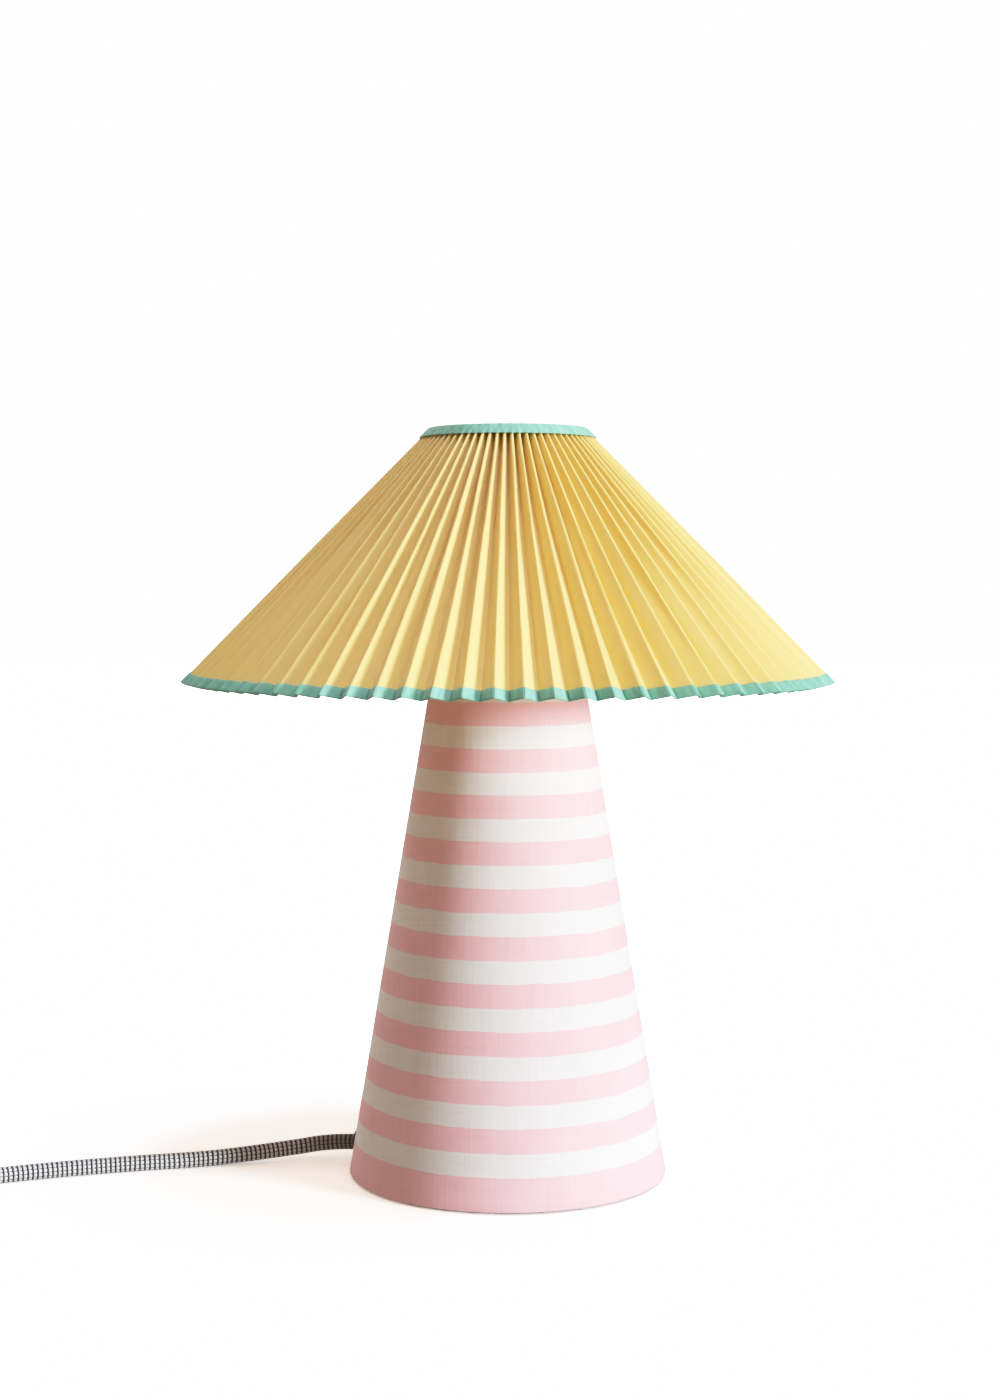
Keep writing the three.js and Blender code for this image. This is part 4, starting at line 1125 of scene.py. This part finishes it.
def make_switch():
    place = placed(SWITCH_ENTRY, SWITCH_HEADING)
    middle = SWITCH_LENGTH / 2

    def ring(inset, z, corner=10):
        return bar_ring(SWITCH_LENGTH, SWITCH_WIDTH, corner, inset, z)

    lower = loft("switch_base", [ring(i, z) for i, z in fillet_levels(0, 7.85, 1.2, 0.25)],
                 place, "black_plastic", "root", ["switch_lower_shell"])
    hollow = [ring(2, 2), ring(2, 12)]
    cut_out(lower, loft("cutter", hollow, place, "black_plastic", "root"),
            rod(place, (-10, 0, 8), (10, 0, 8), 4.0), rod(place, (52, 0, 8), (72, 0, 8), 4.0),
            rod(place, (middle - 17, 0, -1), (middle - 17, 0, 5), 2.0),
            rod(place, (middle + 17, 0, -1), (middle + 17, 0, 5), 2.0))
    upper = loft("switch_cover", [ring(i, z) for i, z in fillet_levels(8.15, 19, 0.25, 3.0)],
                 place, "black_plastic", "root", ["switch_upper_shell"])
    window = []
    for grow, z in ((0, 12), (0, 18.2), (0.8, 19.01), (0.8, 21)):
        window.append([(x + middle - 11.1 - grow, y, z) for x, y, z in
                       bar_ring(22.2 + 2 * grow, 11 + 2 * grow, 1.5, 0, z)])
    inside = [ring(2, 5), ring(2, 16), ring(3.5, 17)]
    cut_out(upper, loft("cutter", inside, place, "black_plastic", "root"),
            loft("cutter", window, place, "black_plastic", "root"),
            rod(place, (-10, 0, 8), (10, 0, 8), 4.0), rod(place, (52, 0, 8), (72, 0, 8), 4.0))
    tilt = (place @ Matrix.Translation(Vector((middle, 0, ROCKER_PIVOT)))
            @ Matrix.Rotation(ROCKER_REST, 4, "Y"))
    outline = filleted([(-10.4, 5.2), (-9.6, 1.5), (-3.4, -3.2), (3.4, -3.2), (9.6, 1.5),
                        (10.4, 5.2), (5.2, 4.55), (0, 4.25), (-5.2, 4.55)], 0.7, 4)
    centre = np.array([0, 1.6])
    rings = []
    for y, shrink in ((-5, 0.94), (-4.85, 0.975), (-4.5, 1), (4.5, 1), (4.85, 0.975), (5, 0.94)):
        rings.append([(x, y, z) for x, z in centre + (np.array(outline) - centre) * shrink])
    button = loft("rocker_button", rings, tilt, "white_plastic", "rocker", ["rocker"])
    cut_out(button, rod(tilt, (0, -8, 0), (0, 8, 0), 1.4))
    mark = tilt @ Matrix.Translation(Vector((6.6, 0, 4.68)))
    turned("rocker_mark", [(0, 0), (1.1, 0), (1.1, 0.3), (0.5, 0.42), (0, 0.45)],
           "black_plastic", "rocker", segments=32, fillet=0, closed=False, place=mark)
    return [lower, upper, button, bpy.data.objects["rocker_mark"]]


def oval_ring(x, half_width, half_height, power, z0, steps=64):
    """A cross-section of the plug: an ellipse that squares up as its power rises."""
    points = []
    for i in range(steps):
        turn = TAU * i / steps
        c, t = math.cos(turn), math.sin(turn)
        y = half_width * math.copysign(abs(c) ** (2 / power), c)
        z = half_height * math.copysign(abs(t) ** (2 / power), t)
        points.append((x, y, z0 + z))
    return points


def make_plug():
    """A flat two-pin plug with a ribbed relief, and pins sleeved at their roots."""
    place = placed(PLUG_ENTRY, -math.pi / 2)
    rings = []
    for i in range(31):
        x = 0.3 + 13.7 * i / 30
        r = 4.6 + 1.2 * i / 30 - 0.45 * (0.5 - 0.5 * math.cos(TAU * i / 5)) * (i < 30)
        rings.append(oval_ring(x, r, r, 2, PLUG_AXIS_Z))
    for i in range(1, 19):
        f = i / 18
        x = 14 + 17 * f
        ease = f * f * (3 - 2 * f)
        rings.append(oval_ring(x, 5.9 + 11.6 * ease, 5.8 + 0.95 * min(1, 2 * f), 2 + 2.6 * ease,
                               PLUG_AXIS_Z))
    for x, half in ((34, 17.6), (44, 17.6), (46, 17.3), (47.8, 16.4), (49, 15.2), (49.7, 14.2),
                    (50, 13.4)):
        rings.append(oval_ring(x, half, 6.78 - max(0, (x - 47.8)) * 0.35, 4.8, PLUG_AXIS_Z))
    shell = loft("plug_shell", rings, place, "black_plastic", "root", ["plug_body"], sharp=50)
    made = [shell]
    for side, y in (("left", 9.3), ("right", -9.3)):
        along = (place @ Matrix.Translation(Vector((0, y, PLUG_AXIS_Z)))
                 @ Matrix.Rotation(math.pi / 2, 4, "Y"))
        made.append(turned(f"pin_{side}", [(0, 50.3), (1.55, 50.3), (1.55, 59.3), (2.0, 59.35),
                                           (2.0, 68.0), (1.6, 69.0), (0.9, 69.3), (0, 69.3)],
                           "steel", "root", [f"plug_pin_{side}"], segments=40, fillet=0.15,
                           closed=False, place=along))
        made.append(turned(f"pin_sleeve_{side}", [(1.6, 50.3), (1.98, 50.3), (1.98, 59.2),
                                                  (1.6, 59.2)],
                           "black_plastic", "root", segments=40, fillet=0.1, place=along))
    return made


# ---------------------------------------------------------------- carried-over CAD nodes
def dress_nodes():
    """Every CAD node that still shows takes its own slot's finish."""
    slots = {row["node"]: row["material_slot"] for row in frame["record"]["subparts"]}
    for name, obj in frame["nodes"].items():
        if obj.hide_render:
            continue
        obj.data.materials.clear()
        obj.data.materials.append(MATERIALS[slots[name]])
        obj.data.polygons.foreach_set("use_smooth", [True] * len(obj.data.polygons))
        obj.data.set_sharp_from_angle(angle=math.radians(30))


# ---------------------------------------------------------------- light and floor
LEFT_AMBIENT = (0.46, 0.345, 0.27)
RIGHT_AMBIENT = (0.52, 0.50, 0.48)
FLOOR_BOUNCE = (0.46, 0.385, 0.325)


def sun(name, azimuth, elevation, strength, angle, colour=(1, 1, 1)):
    """A soft distant light. Azimuth is from the camera's side towards the right, in degrees."""
    data = bpy.data.lights.new(name, "SUN")
    data.energy = strength * math.pi
    data.angle = math.radians(angle)
    data.color = colour
    light = add_object(name, data)
    a, e = math.radians(azimuth), math.radians(elevation)
    towards = Vector((math.sin(a) * math.cos(e), -math.cos(a) * math.cos(e), math.sin(e)))
    light.location = towards * 3
    light.rotation_euler = towards.to_track_quat("Z", "Y").to_euler()


def make_world():
    """White behind the lamp, and a dimmer, warmer room on its left than on its right."""
    s = Shader("studio", "worlds")
    place = s.add("ShaderNodeTexCoord").outputs["Generated"]
    side = s.add("ShaderNodeSeparateXYZ", {0: place}).outputs[0]
    across = s.add("ShaderNodeMapRange", {0: side, 1: -0.6, 2: 0.8}).outputs[0]
    ambient = s.mix(across, rgb(*LEFT_AMBIENT), rgb(*RIGHT_AMBIENT))
    room = s.add("ShaderNodeBackground", {0: ambient}).outputs[0]
    behind = s.add("ShaderNodeBackground", {1: WHITE}).outputs[0]
    seen = s.add("ShaderNodeLightPath").outputs["Is Camera Ray"]
    both = s.add("ShaderNodeMixShader", {0: seen, 1: room, 2: behind}).outputs[0]
    bpy.context.scene.world = s.finish(both, "ShaderNodeOutputWorld")


def make_floor():
    """A pale floor that runs into the white background, with only the soft shadows showing.

    Only the camera sees its surface. To the lamp it is a plain glow, as bounced light.
    """
    mesh = bpy.data.meshes.new("floor")
    reach = 6.0
    corners = [(-reach, -reach, 0), (reach, -reach, 0), (reach, reach, 0), (-reach, reach, 0)]
    mesh.from_pydata(corners, [], [(0, 1, 2, 3)])
    floor = add_object("floor", mesh)
    s = Shader("floor")
    lit = s.add("ShaderNodeBsdfDiffuse", {"Color": rgb(2.45, 2.5, 2.55)}).outputs[0]
    bounce = s.add("ShaderNodeEmission", {"Color": rgb(*FLOOR_BOUNCE)}).outputs[0]
    seen = s.add("ShaderNodeLightPath").outputs["Is Camera Ray"]
    surface = s.add("ShaderNodeMixShader", {0: seen, 1: bounce, 2: lit}).outputs[0]
    mesh.materials.append(s.finish(surface))


# Scene brightness and the brightness shown: straight up to the middle, then a soft shoulder.
TONES = ((0.0, 0.0), (0.25, 0.25), (0.5, 0.5), (0.8, 0.72), (1.1, 0.845), (1.6, 0.965),
         (2.1, 0.99), (3.0, 1.0))
WHITE = TONES[-1][0]


def make_tones():
    settings = bpy.context.scene.view_settings
    settings.view_transform = "Standard"
    settings.use_curve_mapping = True
    mapping = settings.curve_mapping
    mapping.white_level = (WHITE, WHITE, WHITE)
    curve = mapping.curves[3]
    curve.points[0].location = (0.0, 0.0)
    curve.points[-1].location = (1.0, 1.0)
    for bright, shown in TONES[1:-1]:
        curve.points.new(bright / WHITE, shown)
    mapping.update()


def make_lights():
    make_world()
    sun("key", 58, 6, 1.7, 14, (0.96, 1.0, 1.05))
    sun("sky", 80, 72, 0.65, 30, (0.98, 1.0, 1.3))
    sun("back", -150, 15, 0.35, 40)


# ---------------------------------------------------------------- build
make_camera()
make_cords(make_switch(), make_plug())
make_foot()
make_cone()
make_holder()
make_bulb()
make_frame()
make_shade()
dress_nodes()
make_floor()
make_lights()
make_tones()
